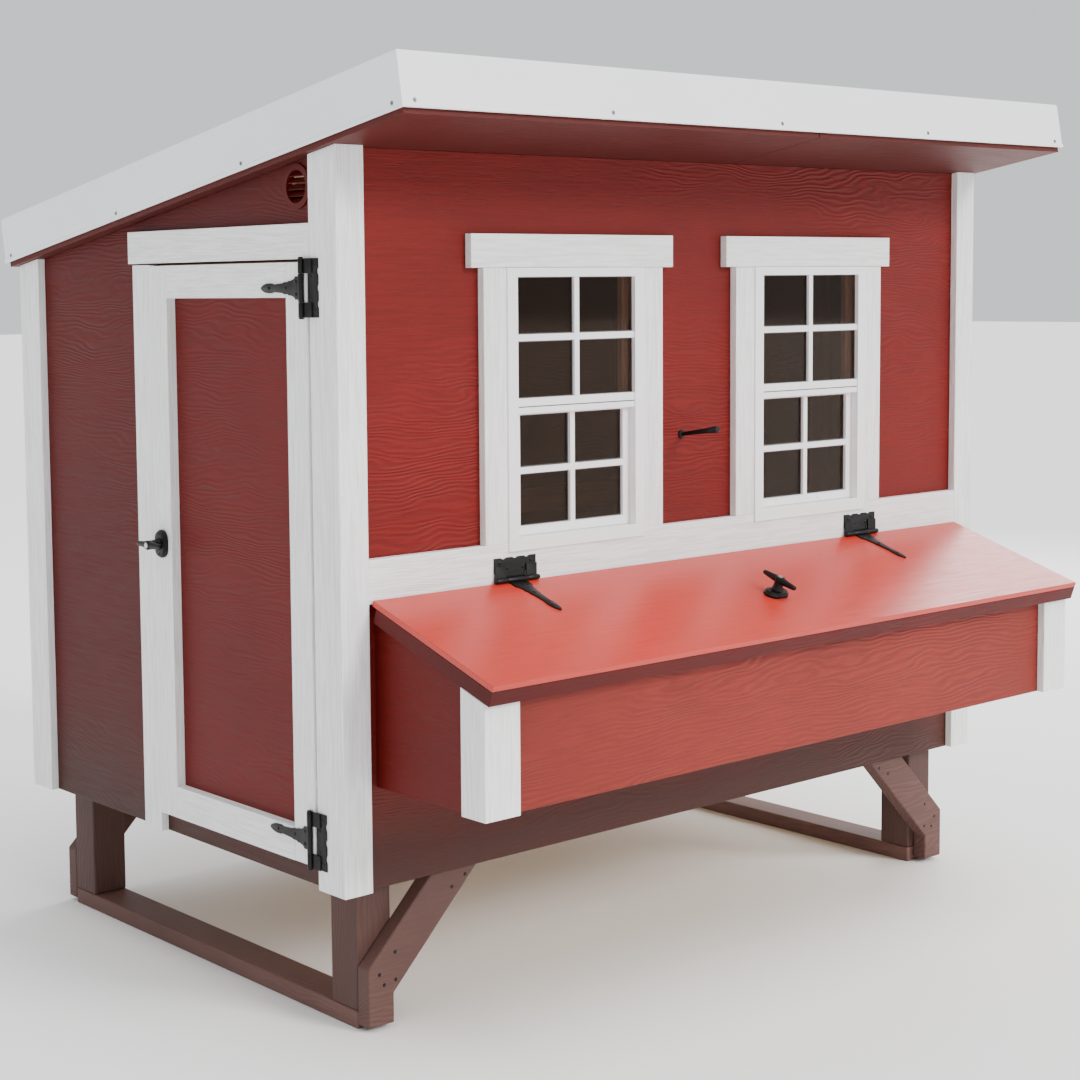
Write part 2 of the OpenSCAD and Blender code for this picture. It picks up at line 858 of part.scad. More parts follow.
door_cam_depth = door_board_t + door_panel_t + 2.5 + stop_t + 2 + cam_t;
lid_cam_depth = cam_drop + cam_t;

module at_door_latch() {
    translate([door_face, door_latch_y, door_latch_z]) rotate([0, -90, 0]) children();
}

module at_lid_latch() {
    on_lid() translate([lid_latch_x, -lid_latch_d, 0]) children();
}

module door_latch_plate() { in_place(black) at_door_latch() latch_base(); }

module door_latch_handle() { in_place(black) at_door_latch() latch_handle(door_cam_depth); }

module door_latch_cam() { in_place(black) at_door_latch() latch_cam(door_cam_depth); }

module lid_latch_plate() { in_place(black) at_lid_latch() latch_base(); }

module lid_latch_handle() { in_place(black) at_lid_latch() latch_handle(lid_cam_depth); }

module lid_latch_cam() {
    in_place(black) at_lid_latch() rotate([0, 0, -90]) latch_cam(lid_cam_depth);
}

keeper_t = 1.5;

module latch_keeper() {
    y = door_y1 + door_gap;
    x = stop_face + stop_t;
    in_place(black)
        block(x, x + keeper_t, y - stop_w, y - 1, door_latch_z - 30, door_latch_z + 30);
}

// ---- Lid stop ----

module lid_stop() {
    in_place(black) translate([stop_x, front_y, stop_z]) rotate([90, 0, 0]) {
        cylinder(r = 11, h = 3);
        translate([0, 0, 3]) cylinder(r = 5, h = stop_l - 3 - 26);
    }
}

module lid_stop_tip() {
    in_place(black) translate([stop_x, front_y - stop_l + 26, stop_z]) rotate([90, 0, 0])
        cylinder(r = 9, h = 26);
}

// ---- Roof ----

module roof_rafters() {
    x = fascia_x - sheet_t;
    y0 = -roof_front + sheet_t;
    y1 = roof_len + roof_back - sheet_t;
    in_place(timber) on_roof() {
        block(-x, x, y0, y0 + stud, rafter_z, roof_deck_z);
        block(-x, x, y1 - stud, y1, rafter_z, roof_deck_z);
        for (i = [0 : 4]) {
            rx = -x + i * (2 * x - stud) / 4;
            block(rx, rx + stud, y0 + stud, y1 - stud, rafter_z, roof_deck_z);
        }
    }
}

module roof_soffit() {
    x = fascia_x - 8;
    in_place(brown) on_roof()
        block(-x, x, -roof_front + 8, roof_len + roof_back - 8, 0, soffit_t);
}

module roof_deck() {
    x = fascia_x - sheet_t;
    in_place(timber) on_roof() block(-x, x, -roof_front + sheet_t, roof_len + roof_back - sheet_t,
        roof_deck_z, roof_top);
}

// The sheet lies between the fascia's flanges.
flange_w = 40;

module roof_sheet() {
    x = fascia_x - flange_w;
    y0 = -roof_front + flange_w;
    y1 = roof_len + roof_back - flange_w;
    in_place(white) on_roof() {
        block(-x, x, y0, y1, roof_top, roof_top + sheet_t);
        for (i = [1 : 3]) {
            sx = -x + i * 2 * x / 4;
            block(sx - 9, sx + 9, y0 + 20, y1 - 5, roof_top + sheet_t, roof_top + sheet_t + 2);
        }
    }
}

// Folded edge: a skirt down the outside and a flange on the deck.
module roof_fascia() {
    z0 = fascia_lift;
    z1 = roof_top + sheet_t;
    y0 = -roof_front;
    y1 = roof_len + roof_back;
    x = fascia_x;
    in_place(white) on_roof() {
        for (e = [[y0, y0 + sheet_t, y0, y0 + flange_w], [y1 - sheet_t, y1, y1 - flange_w, y1]]) {
            union() {
                block(-x, x, e[0], e[1], z0, z1);
                block(-x, x, e[2], e[3], roof_top, z1);
            }
        }
        both_sides() union() {
            block(x - sheet_t, x, y0 + sheet_t, y1 - sheet_t, z0, roof_top);
            block(x - flange_w, x, y0 + flange_w, y1 - flange_w, roof_top, z1);
        }
    }
}

screw_r = 4;
screw_z = fascia_lift + 14;
screw_in = 30;

module edge_screw() { cylinder(r = screw_r, h = screw_h); }

module roof_edge_screws() {
    y0 = -roof_front;
    y1 = roof_len + roof_back;
    in_place(steel) on_roof() {
        for (i = [0 : 4]) {
            x = -fascia_x + screw_in + i * 2 * (fascia_x - screw_in) / 4;
            translate([x, y0, screw_z]) rotate([90, 0, 0]) edge_screw();
            translate([x, y1, screw_z]) rotate([-90, 0, 0]) edge_screw();
        }
        for (i = [0 : 3]) {
            y = y0 + screw_in + i * (y1 - y0 - 2 * screw_in) / 3;
            both_sides() translate([fascia_x, y, screw_z]) rotate([0, 90, 0]) edge_screw();
        }
    }
}

// ---- Inside ----

module roost_bars() {
    sx = in_x - stud;
    y1 = back_y - siding_t - stud;
    in_place(timber) {
        for (y = [roost_y - 180, roost_y])
            block(-sx + 1, sx - 1, y, y + stud, roost_z, roost_z + stud);
        both_sides() block(sx - trim_t, sx, roost_y - 240, y1 + stud, roost_z - stud, roost_z);
    }
}

// ---- Hen door, on the right wall ----

pop_x = half_w + pop_gap;

module pop_door() {
    z0 = pop_z - 12;
    in_place(red) block(pop_x, pop_x + pop_t, pop_y - pop_panel_w / 2, pop_y + pop_panel_w / 2,
        z0, z0 + pop_panel_h);
    // Hand grip.
    in_place(white) block(pop_x + pop_t, pop_x + pop_t + trim_t, pop_y - 60, pop_y + 60,
        z0 + 60, z0 + 82);
}

module pop_door_tracks() {
    z0 = pop_z - 12;
    z1 = z0 + 2 * pop_panel_h + 30;
    ledge = 30;
    inner = pop_panel_w / 2 + pop_gap;
    in_place(white) {
        for (s = [-1, 1]) translate([0, pop_y, 0]) mirror([0, s < 0 ? 1 : 0, 0]) union() {
            block(half_w, pop_x + pop_t + pop_gap, inner, inner + 26, z0 - ledge, z1);
            block(pop_x + pop_t + pop_gap, pop_x + pop_t + pop_gap + 8, inner - 14, inner + 26,
                z0 - ledge, z1);
        }
        block(half_w, pop_x + pop_t + pop_gap, pop_y - inner, pop_y + inner,
            z0 - ledge, z0 - seat_gap);
    }
}

left_skid_rail();
right_skid_rail();
leg_posts();
leg_braces();
floor_joists();
floor_deck();
wall_studs();
front_siding();
back_siding();
left_siding();
right_siding();
front_corner_trim();
back_corner_trim();
front_band();
left_window_trim();
right_window_trim();
door_trim();
door_stop();
left_window_frame();
right_window_frame();
left_upper_glass();
right_upper_glass();
left_lower_sash();
right_lower_sash();
left_lower_glass();
right_lower_glass();
wall_vents();
nest_front();
nest_sides();
nest_floor();
nest_dividers();
nest_corner_trim();
lid_panel();
lid_edging();
door_boards();
door_panel();
door_hinge_leaves();
door_hinge_straps();
door_hinge_pins();
lid_hinge_leaves();
lid_hinge_straps();
lid_hinge_pins();
door_latch_plate();
door_latch_handle();
door_latch_cam();
lid_latch_plate();
lid_latch_handle();
lid_latch_cam();
latch_keeper();
lid_stop();
lid_stop_tip();
roof_rafters();
roof_soffit();
roof_deck();
roof_sheet();
roof_fascia();
roof_edge_screws();
roost_bars();
pop_door();
pop_door_tracks();
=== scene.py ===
import math

import bmesh
import bpy
from mathutils import Matrix, Vector


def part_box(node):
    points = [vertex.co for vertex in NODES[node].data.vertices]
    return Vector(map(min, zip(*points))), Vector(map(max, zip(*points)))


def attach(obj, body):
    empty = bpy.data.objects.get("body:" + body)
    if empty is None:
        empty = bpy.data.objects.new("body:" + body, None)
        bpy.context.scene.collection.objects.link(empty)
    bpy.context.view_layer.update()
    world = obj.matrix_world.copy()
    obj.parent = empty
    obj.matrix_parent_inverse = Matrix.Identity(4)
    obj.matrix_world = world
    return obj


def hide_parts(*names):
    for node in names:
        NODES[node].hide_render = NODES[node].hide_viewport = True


bl_info = {
    "name": "Chicken coop",
    "version": (1, 0, 0),
    "blender": (4, 5, 0),
    "location": "3D View > Sidebar > Coop",
    "description": "Builds the looks of a chicken coop on skids around its fixed frame",
    "category": "Object",
}

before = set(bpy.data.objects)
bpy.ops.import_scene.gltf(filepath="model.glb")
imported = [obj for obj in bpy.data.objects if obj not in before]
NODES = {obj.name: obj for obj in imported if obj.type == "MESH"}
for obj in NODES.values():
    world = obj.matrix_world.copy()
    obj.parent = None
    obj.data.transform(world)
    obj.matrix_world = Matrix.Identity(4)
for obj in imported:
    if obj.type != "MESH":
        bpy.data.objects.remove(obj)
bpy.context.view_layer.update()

# Lines that the CAD pieces are laid out from, in metres.
MID_X = 0.0109
FRONT_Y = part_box("front_siding")[0][1]
WALL_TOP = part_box("front_siding")[1][2]
BAND_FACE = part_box("front_band")[0][1]
HALF_W = (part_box("back_siding")[1][0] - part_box("back_siding")[0][0]) / 2
BODY_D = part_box("back_siding")[1][1] - FRONT_Y
ROOF_PITCH = math.radians(9.6)
LID_PITCH = math.radians(18.5)
LID_BACK = 0.012 * math.tan(LID_PITCH) + 0.001
LID_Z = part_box("lid_panel")[1][2] + LID_BACK * math.sin(LID_PITCH)
ROOF_FRONT = 0.265
ROOF_BACK = BODY_D / math.cos(ROOF_PITCH) + 0.042
ROOF_HALF = HALF_W + 0.043
ROOF_TOP = 0.1175
FASCIA_LOW = 0.010
DOOR_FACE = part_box("door_boards")[0][0]
TRIM_W = 0.070
TRIM_T = 0.019
HEAD_H = 0.073
STILE_W = 0.0700
SEAM = 0.0003
LEAF_OFF = 0.009
HINGE_OFF = 0.006


def translation(x, y, z):
    return Matrix.Translation((x, y, z))


def roof_place():
    """The roof's own frame: y runs down the slope and z is square to it."""
    return translation(MID_X, FRONT_Y, WALL_TOP) @ Matrix.Rotation(-ROOF_PITCH, 4, "X")


def lid_place():
    """The lid's own frame: y runs up the slope and z is square to it."""
    return translation(MID_X, BAND_FACE, LID_Z) @ Matrix.Rotation(LID_PITCH, 4, "X")


# ---- Sizes and colours that a user would change ----


class CoopSizes(bpy.types.PropertyGroup):
    board_ease: bpy.props.FloatProperty(
        name="Board edge easing", description="How far the painted boards' edges are rounded",
        default=0.0022, min=0.0005, max=0.004, unit="LENGTH")
    trim_ease: bpy.props.FloatProperty(
        name="Trim edge easing", description="How far the white boards' edges are rounded",
        default=0.0014, min=0.0005, max=0.003, unit="LENGTH")
    lumber_ease: bpy.props.FloatProperty(
        name="Lumber edge easing", description="How far the skid lumber's edges are rounded",
        default=0.004, min=0.001, max=0.008, unit="LENGTH")
    plastic_ease: bpy.props.FloatProperty(
        name="Window edge easing", description="How far the window frames' edges are rounded",
        default=0.0012, min=0.0003, max=0.002, unit="LENGTH")
    hem: bpy.props.FloatProperty(
        name="Hem height", description="Height of the folded hem along the roof edge",
        default=0.007, min=0.003, max=0.012, unit="LENGTH")
    screw_radius: bpy.props.FloatProperty(
        name="Screw head radius", description="Radius of the wood screws' heads",
        default=0.0042, min=0.002, max=0.006, unit="LENGTH")
    lens: bpy.props.FloatProperty(
        name="Camera lens", description="Focal length on a 36 mm sensor", default=67.06,
        min=20, max=200)


class CoopColours(bpy.types.PropertyGroup):
    red: bpy.props.FloatVectorProperty(
        name="Barn red", description="Paint on the siding and the door panel",
        subtype="COLOR", size=4, default=(0.168, 0.0095, 0.0072, 1), min=0, max=1)
    # Painted light: the lid is the same paint as the barn red, made far lighter to stand in for the
    # sunlight on the lid.
    lid: bpy.props.FloatVectorProperty(
        name="Lid red", description="Lid paint lightened as painted sunlight",
        subtype="COLOR", size=4, default=(0.56, 0.034, 0.020, 1), min=0, max=1)
    nest: bpy.props.FloatVectorProperty(
        name="Nest box red", description="Faded paint on the nest box's front",
        subtype="COLOR", size=4, default=(0.23, 0.028, 0.020, 1), min=0, max=1)
    white: bpy.props.FloatVectorProperty(
        name="White", description="Paint on the trim boards",
        subtype="COLOR", size=4, default=(0.93, 0.93, 0.93, 1), min=0, max=1)
    brown: bpy.props.FloatVectorProperty(
        name="Red brown", description="Paint on the skids, posts and braces",
        subtype="COLOR", size=4, default=(0.098, 0.050, 0.043, 1), min=0, max=1)
    soffit: bpy.props.FloatVectorProperty(
        name="Soffit red brown", description="Paint under the roof",
        subtype="COLOR", size=4, default=(0.10, 0.018, 0.015, 1), min=0, max=1)
    vinyl: bpy.props.FloatVectorProperty(
        name="Window white", description="Window frames", subtype="COLOR", size=4,
        default=(0.93, 0.93, 0.94, 1), min=0, max=1)
    metal: bpy.props.FloatVectorProperty(
        name="Roof white", description="Coated steel on the roof", subtype="COLOR", size=4,
        default=(0.91, 0.92, 0.95, 1), min=0, max=1)
    black: bpy.props.FloatVectorProperty(
        name="Hardware black", description="Hinges and latches", subtype="COLOR", size=4,
        default=(0.004, 0.0035, 0.0035, 1), min=0, max=1)


def sizes():
    return bpy.context.scene.coop_sizes


def colours():
    return bpy.context.scene.coop_colours


# ---- Materials ----


def new_material(name):
    """A material with its shader; returns (material, nodes, links, shader)."""
    mat = bpy.data.materials.new(name)
    mat.use_nodes = True
    nt = mat.node_tree
    return mat, nt.nodes, nt.links, nt.nodes["Principled BSDF"]


def math_node(nodes, links, op, a, b=None, clamp=False):
    n = nodes.new("ShaderNodeMath")
    n.operation = op
    n.use_clamp = clamp
    for i, v in enumerate((a, b)):
        if v is None:
            continue
        if isinstance(v, (int, float)):
            n.inputs[i].default_value = v
        else:
            links.new(v, n.inputs[i])
    return n.outputs[0]


def noise(nodes, links, scale3, detail=3.0, rough=0.55, offset=(0, 0, 0)):
    """Noise on the object's own coordinates, stretched by scale3."""
    tc = nodes.new("ShaderNodeTexCoord")
    mp = nodes.new("ShaderNodeMapping")
    mp.inputs["Scale"].default_value = scale3
    mp.inputs["Location"].default_value = offset
    nz = nodes.new("ShaderNodeTexNoise")
    nz.inputs["Scale"].default_value = 1.0
    nz.inputs["Detail"].default_value = detail
    nz.inputs["Roughness"].default_value = rough
    links.new(tc.outputs["Object"], mp.inputs["Vector"])
    links.new(mp.outputs["Vector"], nz.inputs["Vector"])
    return nz.outputs["Fac"]


def spread(nodes, links, value, low, high):
    """Stretches value so that low to high becomes 0 to 1."""
    n = nodes.new("ShaderNodeMapRange")
    n.inputs["From Min"].default_value = low
    n.inputs["From Max"].default_value = high
    links.new(value, n.inputs["Value"])
    return n.outputs["Result"]


def mix_colour(nodes, links, factor, a, b):
    n = nodes.new("ShaderNodeMix")
    n.data_type = "RGBA"
    links.new(factor, n.inputs["Factor"])
    for v, key in ((a, 6), (b, 7)):
        if isinstance(v, (tuple, list)):
            n.inputs[key].default_value = v
        else:
            links.new(v, n.inputs[key])
    return n.outputs[2]


def along_scale(along, length_wise, cross_wise):
    return tuple(length_wise if k == along else cross_wise for k in "XYZ")


def shade(c, k):
    return (c[0] * k, c[1] * k, c[2] * k, 1)


def soil_and_painted_shade(nodes, links, base, height_z, colour):
    """Darker towards the bottom of the lowest boards, fading out upwards: partly soil splash,
    partly painted shade such as the shade under the nest box.
    """
    tc = nodes.new("ShaderNodeTexCoord")
    sep = nodes.new("ShaderNodeSeparateXYZ")
    links.new(tc.outputs["Object"], sep.inputs[0])
    blot = noise(nodes, links, (5.0, 5.0, 9.0), 4.0, 0.6, (1.0, 4.0, 2.0))
    z = math_node(nodes, links, "ADD", sep.outputs[2],
                  math_node(nodes, links, "MULTIPLY", blot, -0.16))
    amount = spread(nodes, links, z, height_z, height_z - 0.30)
    amount = math_node(nodes, links, "MULTIPLY", amount, 0.85, clamp=True)
    return mix_colour(nodes, links, amount, base, colour)


def painted_wood(name, colour, along, ridge=0.5, pitch=0.013, rough=0.5, dirt=0.25, lift=1.22,
                 soil_and_shade_z=None, spec=0.2):
    """Paint over embossed grain that runs along one axis."""
    mat, nodes, links, shader = new_material(name)
    tc = nodes.new("ShaderNodeTexCoord")
    sep = nodes.new("ShaderNodeSeparateXYZ")
    links.new(tc.outputs["Object"], sep.inputs[0])
    if along == "Z":
        across = math_node(nodes, links, "ADD", sep.outputs[0], sep.outputs[1])
    else:
        other = sep.outputs[1] if along == "X" else sep.outputs[0]
        across = math_node(nodes, links, "ADD", sep.outputs[2],
                           math_node(nodes, links, "MULTIPLY", other, 0.9))
    sway = noise(nodes, links, along_scale(along, 1.6, 5.5), 3.0)
    sway = math_node(nodes, links, "MULTIPLY", math_node(nodes, links, "SUBTRACT", sway, 0.5), 0.22)
    t = math_node(nodes, links, "ADD", across, sway)
    ring = math_node(nodes, links, "SINE", math_node(nodes, links, "MULTIPLY", t, 6.2832 / pitch))
    ring = spread(nodes, links, ring, -0.7, 1.0)
    patch = spread(nodes, links, noise(nodes, links, along_scale(along, 1.3, 2.8), 2.0, 0.5,
                                       (3.1, 1.7, 5.3)), 0.42, 0.62)
    fibre = noise(nodes, links, along_scale(along, 9.0, 210.0), 3.0, 0.6)
    pit = spread(nodes, links, noise(nodes, links, along_scale(along, 30.0, 160.0), 2.0),
                 0.56, 0.72)
    ridged = math_node(nodes, links, "MULTIPLY", ring, patch)
    height = math_node(nodes, links, "ADD", math_node(nodes, links, "MULTIPLY", ridged, 0.8),
                       math_node(nodes, links, "MULTIPLY", fibre, 0.7))
    height = math_node(nodes, links, "SUBTRACT", height,
                       math_node(nodes, links, "MULTIPLY", pit, 0.35))
    worn = noise(nodes, links, (1.4, 1.4, 1.4), 4.0, 0.6, (7.0, 2.0, 9.0))
    base = mix_colour(nodes, links, spread(nodes, links, worn, 0.3, 0.7), shade(colour, 1 - dirt),
                      shade(colour, 1.0 + dirt * 0.4))
    # Painted highlight: the grain's raised rings are lightened towards shade(colour, lift).
    lit = mix_colour(nodes, links,
                     math_node(nodes, links, "MULTIPLY", ridged, 0.55, clamp=True), base,
                     shade(colour, lift))
    groove = math_node(nodes, links, "MULTIPLY", spread(nodes, links, fibre, 0.56, 0.40), 0.32,
                       clamp=True)
    painted = mix_colour(nodes, links, groove, lit, shade(colour, 0.55))
    if soil_and_shade_z is not None:
        # Painted shade and soil: the boards darken towards the bottom.
        painted = soil_and_painted_shade(nodes, links, painted, soil_and_shade_z, (0.046, 0.024, 0.019, 1))
    links.new(painted, shader.inputs["Base Color"])
    bump = nodes.new("ShaderNodeBump")
    bump.inputs["Strength"].default_value = ridge
    bump.inputs["Distance"].default_value = 0.0016
    links.new(height, bump.inputs["Height"])
    links.new(bump.outputs["Normal"], shader.inputs["Normal"])
    rough_socket = spread(nodes, links, fibre, 0.2, 0.8)
    rough_socket = math_node(nodes, links, "ADD", math_node(
        nodes, links, "MULTIPLY", rough_socket, 0.2), rough - 0.1)
    links.new(rough_socket, shader.inputs["Roughness"])
    shader.inputs["Specular IOR Level"].default_value = spec
    return mat


def smooth_coat(name, colour, rough=0.3, metallic=0.0, spec=0.5, mottle=0.05, grain=0.06,
                grain_scale=260.0, coat=0.0):
    """A factory finish: vinyl, coated steel, black powder coat, rubber."""
    mat, nodes, links, shader = new_material(name)
    shader.inputs["Metallic"].default_value = metallic
    shader.inputs["Specular IOR Level"].default_value = spec
    shader.inputs["Coat Weight"].default_value = coat
    soft = noise(nodes, links, (3.0, 3.0, 3.0), 3.0)
    links.new(mix_colour(nodes, links, soft, shade(colour, 1 - mottle), shade(colour, 1 + mottle)),
              shader.inputs["Base Color"])
    fine = noise(nodes, links, (grain_scale,) * 3, 2.0)
    links.new(math_node(nodes, links, "ADD", math_node(nodes, links, "MULTIPLY", soft, 0.12),
                        rough - 0.06), shader.inputs["Roughness"])
    bump = nodes.new("ShaderNodeBump")
    bump.inputs["Strength"].default_value = grain
    bump.inputs["Distance"].default_value = 0.0006
    links.new(fine, bump.inputs["Height"])
    links.new(bump.outputs["Normal"], shader.inputs["Normal"])
    return mat


def bare_timber(name, along):
    mat, nodes, links, shader = new_material(name)
    fibre = noise(nodes, links, along_scale(along, 3.0, 90.0), 4.0, 0.6)
    broad = noise(nodes, links, along_scale(along, 0.8, 9.0), 3.0)
    base = mix_colour(nodes, links, spread(nodes, links, fibre, 0.35, 0.65),
                      (0.50, 0.33, 0.17, 1), (0.68, 0.50, 0.31, 1))
    links.new(mix_colour(nodes, links, spread(nodes, links, broad, 0.35, 0.75), base,
                         (0.42, 0.26, 0.13, 1)), shader.inputs["Base Color"])
    bump = nodes.new("ShaderNodeBump")
    bump.inputs["Strength"].default_value = 0.3
    bump.inputs["Distance"].default_value = 0.001
    links.new(fibre, bump.inputs["Height"])
    links.new(bump.outputs["Normal"], shader.inputs["Normal"])
    shader.inputs["Roughness"].default_value = 0.72
    return mat


def window_glass(name):
    mat, nodes, links, shader = new_material(name)
    shader.inputs["Base Color"].default_value = (0.34, 0.22, 0.17, 1)
    shader.inputs["Transmission Weight"].default_value = 1.0
    shader.inputs["IOR"].default_value = 1.30
    shader.inputs["Specular IOR Level"].default_value = 0.06
    shader.inputs["Specular Tint"].default_value = (1.0, 0.70, 0.52, 1)
    smear = noise(nodes, links, (6.0, 6.0, 2.0), 3.0)
    links.new(math_node(nodes, links, "MULTIPLY", smear, 0.08), shader.inputs["Roughness"])
    return mat


MAKERS = {
    "red siding x": lambda c: painted_wood("Red siding along the wall", c.red, "X", 0.7, 0.010,
                                           soil_and_shade_z=0.56),
    # Painted shade: the side walls' siding is the barn red darkened to 0.55, for the shade on the
    # side walls.
    "red siding y, painted shade": lambda c: painted_wood("Red siding across the side, in painted shade", shade(c.red, 0.55), "Y",
                                           0.35, 0.010, soil_and_shade_z=0.50),
    "hen door red": lambda c: painted_wood("Red paint on the hen door", c.red, "Y", 0.32, 0.010,
                                           lift=1.1),
    "nest red": lambda c: painted_wood("Red paint on the nest box", c.nest, "X", 0.75, 0.012,
                                       lift=1.3),
    # Painted shade: the nest box's sides and the side door's panel get the barn red darkened to
    # 0.8.
    "shaded red along y": lambda c: painted_wood("Red paint along y, in painted shade", shade(c.red, 0.8), "Y", 0.32,
                                          0.010, lift=1.1),
    # Painted shade: the lid's edge boards get the barn red darkened to 0.55.
    "shaded lid edge red": lambda c: painted_wood("Red paint on the lid's edge, in painted shade", shade(c.red, 0.55),
                                           "X", 0.5, 0.013),
    # Painted light: the lid's paint is the lightened lid red, for the sunlight on it.
    "sunlit red lid": lambda c: painted_wood("Red paint on the lid", c.lid, "X", 0.12, 0.03, 0.36,
                                      0.10, 1.06, spec=0.5),
    # Painted shade: the vents get the barn red darkened to 0.5, like the side walls' painted shade.
    "shaded red plastic": lambda c: smooth_coat("Red vent plastic, in painted shade", shade(c.red, 0.5), 0.5, 0.0, 0.2),
    "white along x": lambda c: painted_wood("White paint, grain along x", c.white, "X", 0.32,
                                            0.009, 0.42, 0.05, 1.05),
    "white along y": lambda c: painted_wood("White paint, grain along y", c.white, "Y", 0.32,
                                            0.009, 0.42, 0.05, 1.05),
    "white along z": lambda c: painted_wood("White paint, grain along z", c.white, "Z", 0.32,
                                            0.009, 0.42, 0.05, 1.05),
    # Painted light: the braces get the skid brown lightened to 1.25.
    "lit brown along x": lambda c: painted_wood("Red brown paint along x, lightened as painted light", shade(c.brown, 1.25),
                                            "X", 0.4, 0.012, 0.55, 0.3, 1.3),
    # Partly dust, partly painted light: the rails get the skid brown lightened to 1.7, for dust on
    # them and the light on their tops.
    "dusty and lit brown along y": lambda c: painted_wood("Red brown paint along y", shade(c.brown, 1.7),
                                            "Y", 0.4, 0.012, 0.55, 0.3, 1.3),
    "brown along z": lambda c: painted_wood("Red brown paint along z", c.brown, "Z", 0.4,
                                            0.012, 0.55, 0.3, 1.3),
    "soffit": lambda c: painted_wood("Soffit paint", c.soffit, "X", 0.3, 0.012, 0.55, 0.2, 1.15),
    "timber along x": lambda c: bare_timber("Pine along x", "X"),
    "timber along y": lambda c: bare_timber("Pine along y", "Y"),
    "timber along z": lambda c: bare_timber("Pine along z", "Z"),
    "vinyl": lambda c: smooth_coat("Window vinyl", c.vinyl, 0.28, 0.0, 0.5, 0.02, 0.04),
    "roof steel": lambda c: smooth_coat("Coated roof steel", c.metal, 0.30, 0.0, 0.5, 0.03, 0.05,
                                        420.0, 0.15),
    "black": lambda c: smooth_coat("Black powder coat", c.black, 0.38, 0.0, 0.26, 0.3, 0.3, 700.0),
    "rubber": lambda c: smooth_coat("Black rubber", (0.010, 0.010, 0.010), 0.7, 0.0, 0.3, 0.2,
                                    0.3, 500.0),
    # Painted shade: dark grey for the beads round the panes and the strip on the meeting rail.
    "painted shade grey": lambda c: smooth_coat("Grey painted shade at the windows", (0.10, 0.095, 0.09), 0.6, 0.0, 0.3, 0.1,
                                    0.2, 500.0),
    "key steel": lambda c: smooth_coat("Bright key cylinder", (0.62, 0.60, 0.55), 0.28, 1.0),
    "screw steel": lambda c: smooth_coat("Dull screw steel", (0.25, 0.25, 0.27), 0.4, 1.0),
    "glass": lambda c: window_glass("Window glass"),
}
MADE = {}


def material(key):
    if key not in MADE:
        MADE[key] = MAKERS[key](colours())
    return MADE[key]


# ---- Making pieces ----


def finish_piece(obj, body, nodes=()):
    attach(obj, body)
    if nodes:
        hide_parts(*nodes)
    return obj


def add_object(name, mesh, mat):
    for m in mat if isinstance(mat, (list, tuple)) else [mat]:
        mesh.materials.append(m)
    obj = bpy.data.objects.new(name, mesh)
    bpy.context.scene.collection.objects.link(obj)
    return obj


def object_from(bm, name, mat, smooth_angle=None):
    mesh = bpy.data.meshes.new(name)
    bm.normal_update()
    bm.to_mesh(mesh)
    bm.free()
    if smooth_angle is not None:
        mesh.shade_smooth()
        mesh.set_sharp_from_angle(angle=math.radians(smooth_angle))
    return add_object(name, mesh, mat)


def ease_edges(bm, width, segments=2, angle=25.0):
    """Rounds every edge that turns by more than angle."""
    sharp = [e for e in bm.edges if len(e.link_faces) == 2
             and e.calc_face_angle(0) > math.radians(angle)]
    bmesh.ops.bevel(bm, geom=sharp, offset=width, segments=segments, profile=0.5,
                    affect="EDGES", clamp_overlap=True)


def merged_copy(node):
    """A welded copy of a CAD node's mesh, with its flat faces whole again."""
    bm = bmesh.new()
    bm.from_mesh(NODES[node].data)
    bmesh.ops.remove_doubles(bm, verts=bm.verts, dist=2e-5)
    bmesh.ops.dissolve_limit(bm, angle_limit=math.radians(0.5), verts=bm.verts, edges=bm.edges)
    return bm


def eased_boards(node, width, mat_key, body, segments=2):
    """The node's own boards with rounded edges, in place of the node."""
    bm = merged_copy(node)
    ease_edges(bm, width, segments)
    obj = object_from(bm, node + "_eased", material(mat_key))
    return finish_piece(obj, body, (node,))


def split_boards(node, parts, width, body, segments=2):
    """The node's boards parted along their seams, each with its own grain and rounded edges.

    Each part is (finish, cuts) and each cut (axis, side, place) keeps what is on that side."""
    whole = bmesh.new()
    finishes = []
    for mat_key, cuts in parts:
        bm = merged_copy(node)
        for axis, side, at in cuts:
            line = Vector([1.0 if k == axis else 0.0 for k in range(3)])
            bmesh.ops.bisect_plane(bm, geom=bm.verts[:] + bm.edges[:] + bm.faces[:], dist=1e-6,
                                   plane_co=line * at, plane_no=line * side, clear_inner=True)
            bmesh.ops.holes_fill(bm, edges=[e for e in bm.edges if e.is_boundary], sides=0)
        bmesh.ops.recalc_face_normals(bm, faces=bm.faces)
        if mat_key not in finishes:
            finishes.append(mat_key)
        for f in bm.faces:
            f.material_index = finishes.index(mat_key)
        ease_edges(bm, width, segments)
        mesh = bpy.data.meshes.new(node + "_part")
        bm.to_mesh(mesh)
        bm.free()
        whole.from_mesh(mesh)
        bpy.data.meshes.remove(mesh)
    obj = object_from(whole, node + "_parted", [material(k) for k in finishes])
    return finish_piece(obj, body, (node,))


def repaint(node, mat_key):
    """A CAD node whose shape is right, with its finish."""
    obj = NODES[node]
    for s in obj.material_slots:
        s.material = material(mat_key)
    if not obj.material_slots:
        obj.data.materials.append(material(mat_key))


def add_loop_strip(bm, rings):
    """Joins rings of vertices, each to the next and the last to the first, with quads."""
    n = len(rings[0])
    for a, b in zip(rings, rings[1:] + rings[:1]):
        for i in range(n):
            j = (i + 1) % n
            bm.faces.new((a[i], a[j], b[j], b[i]))


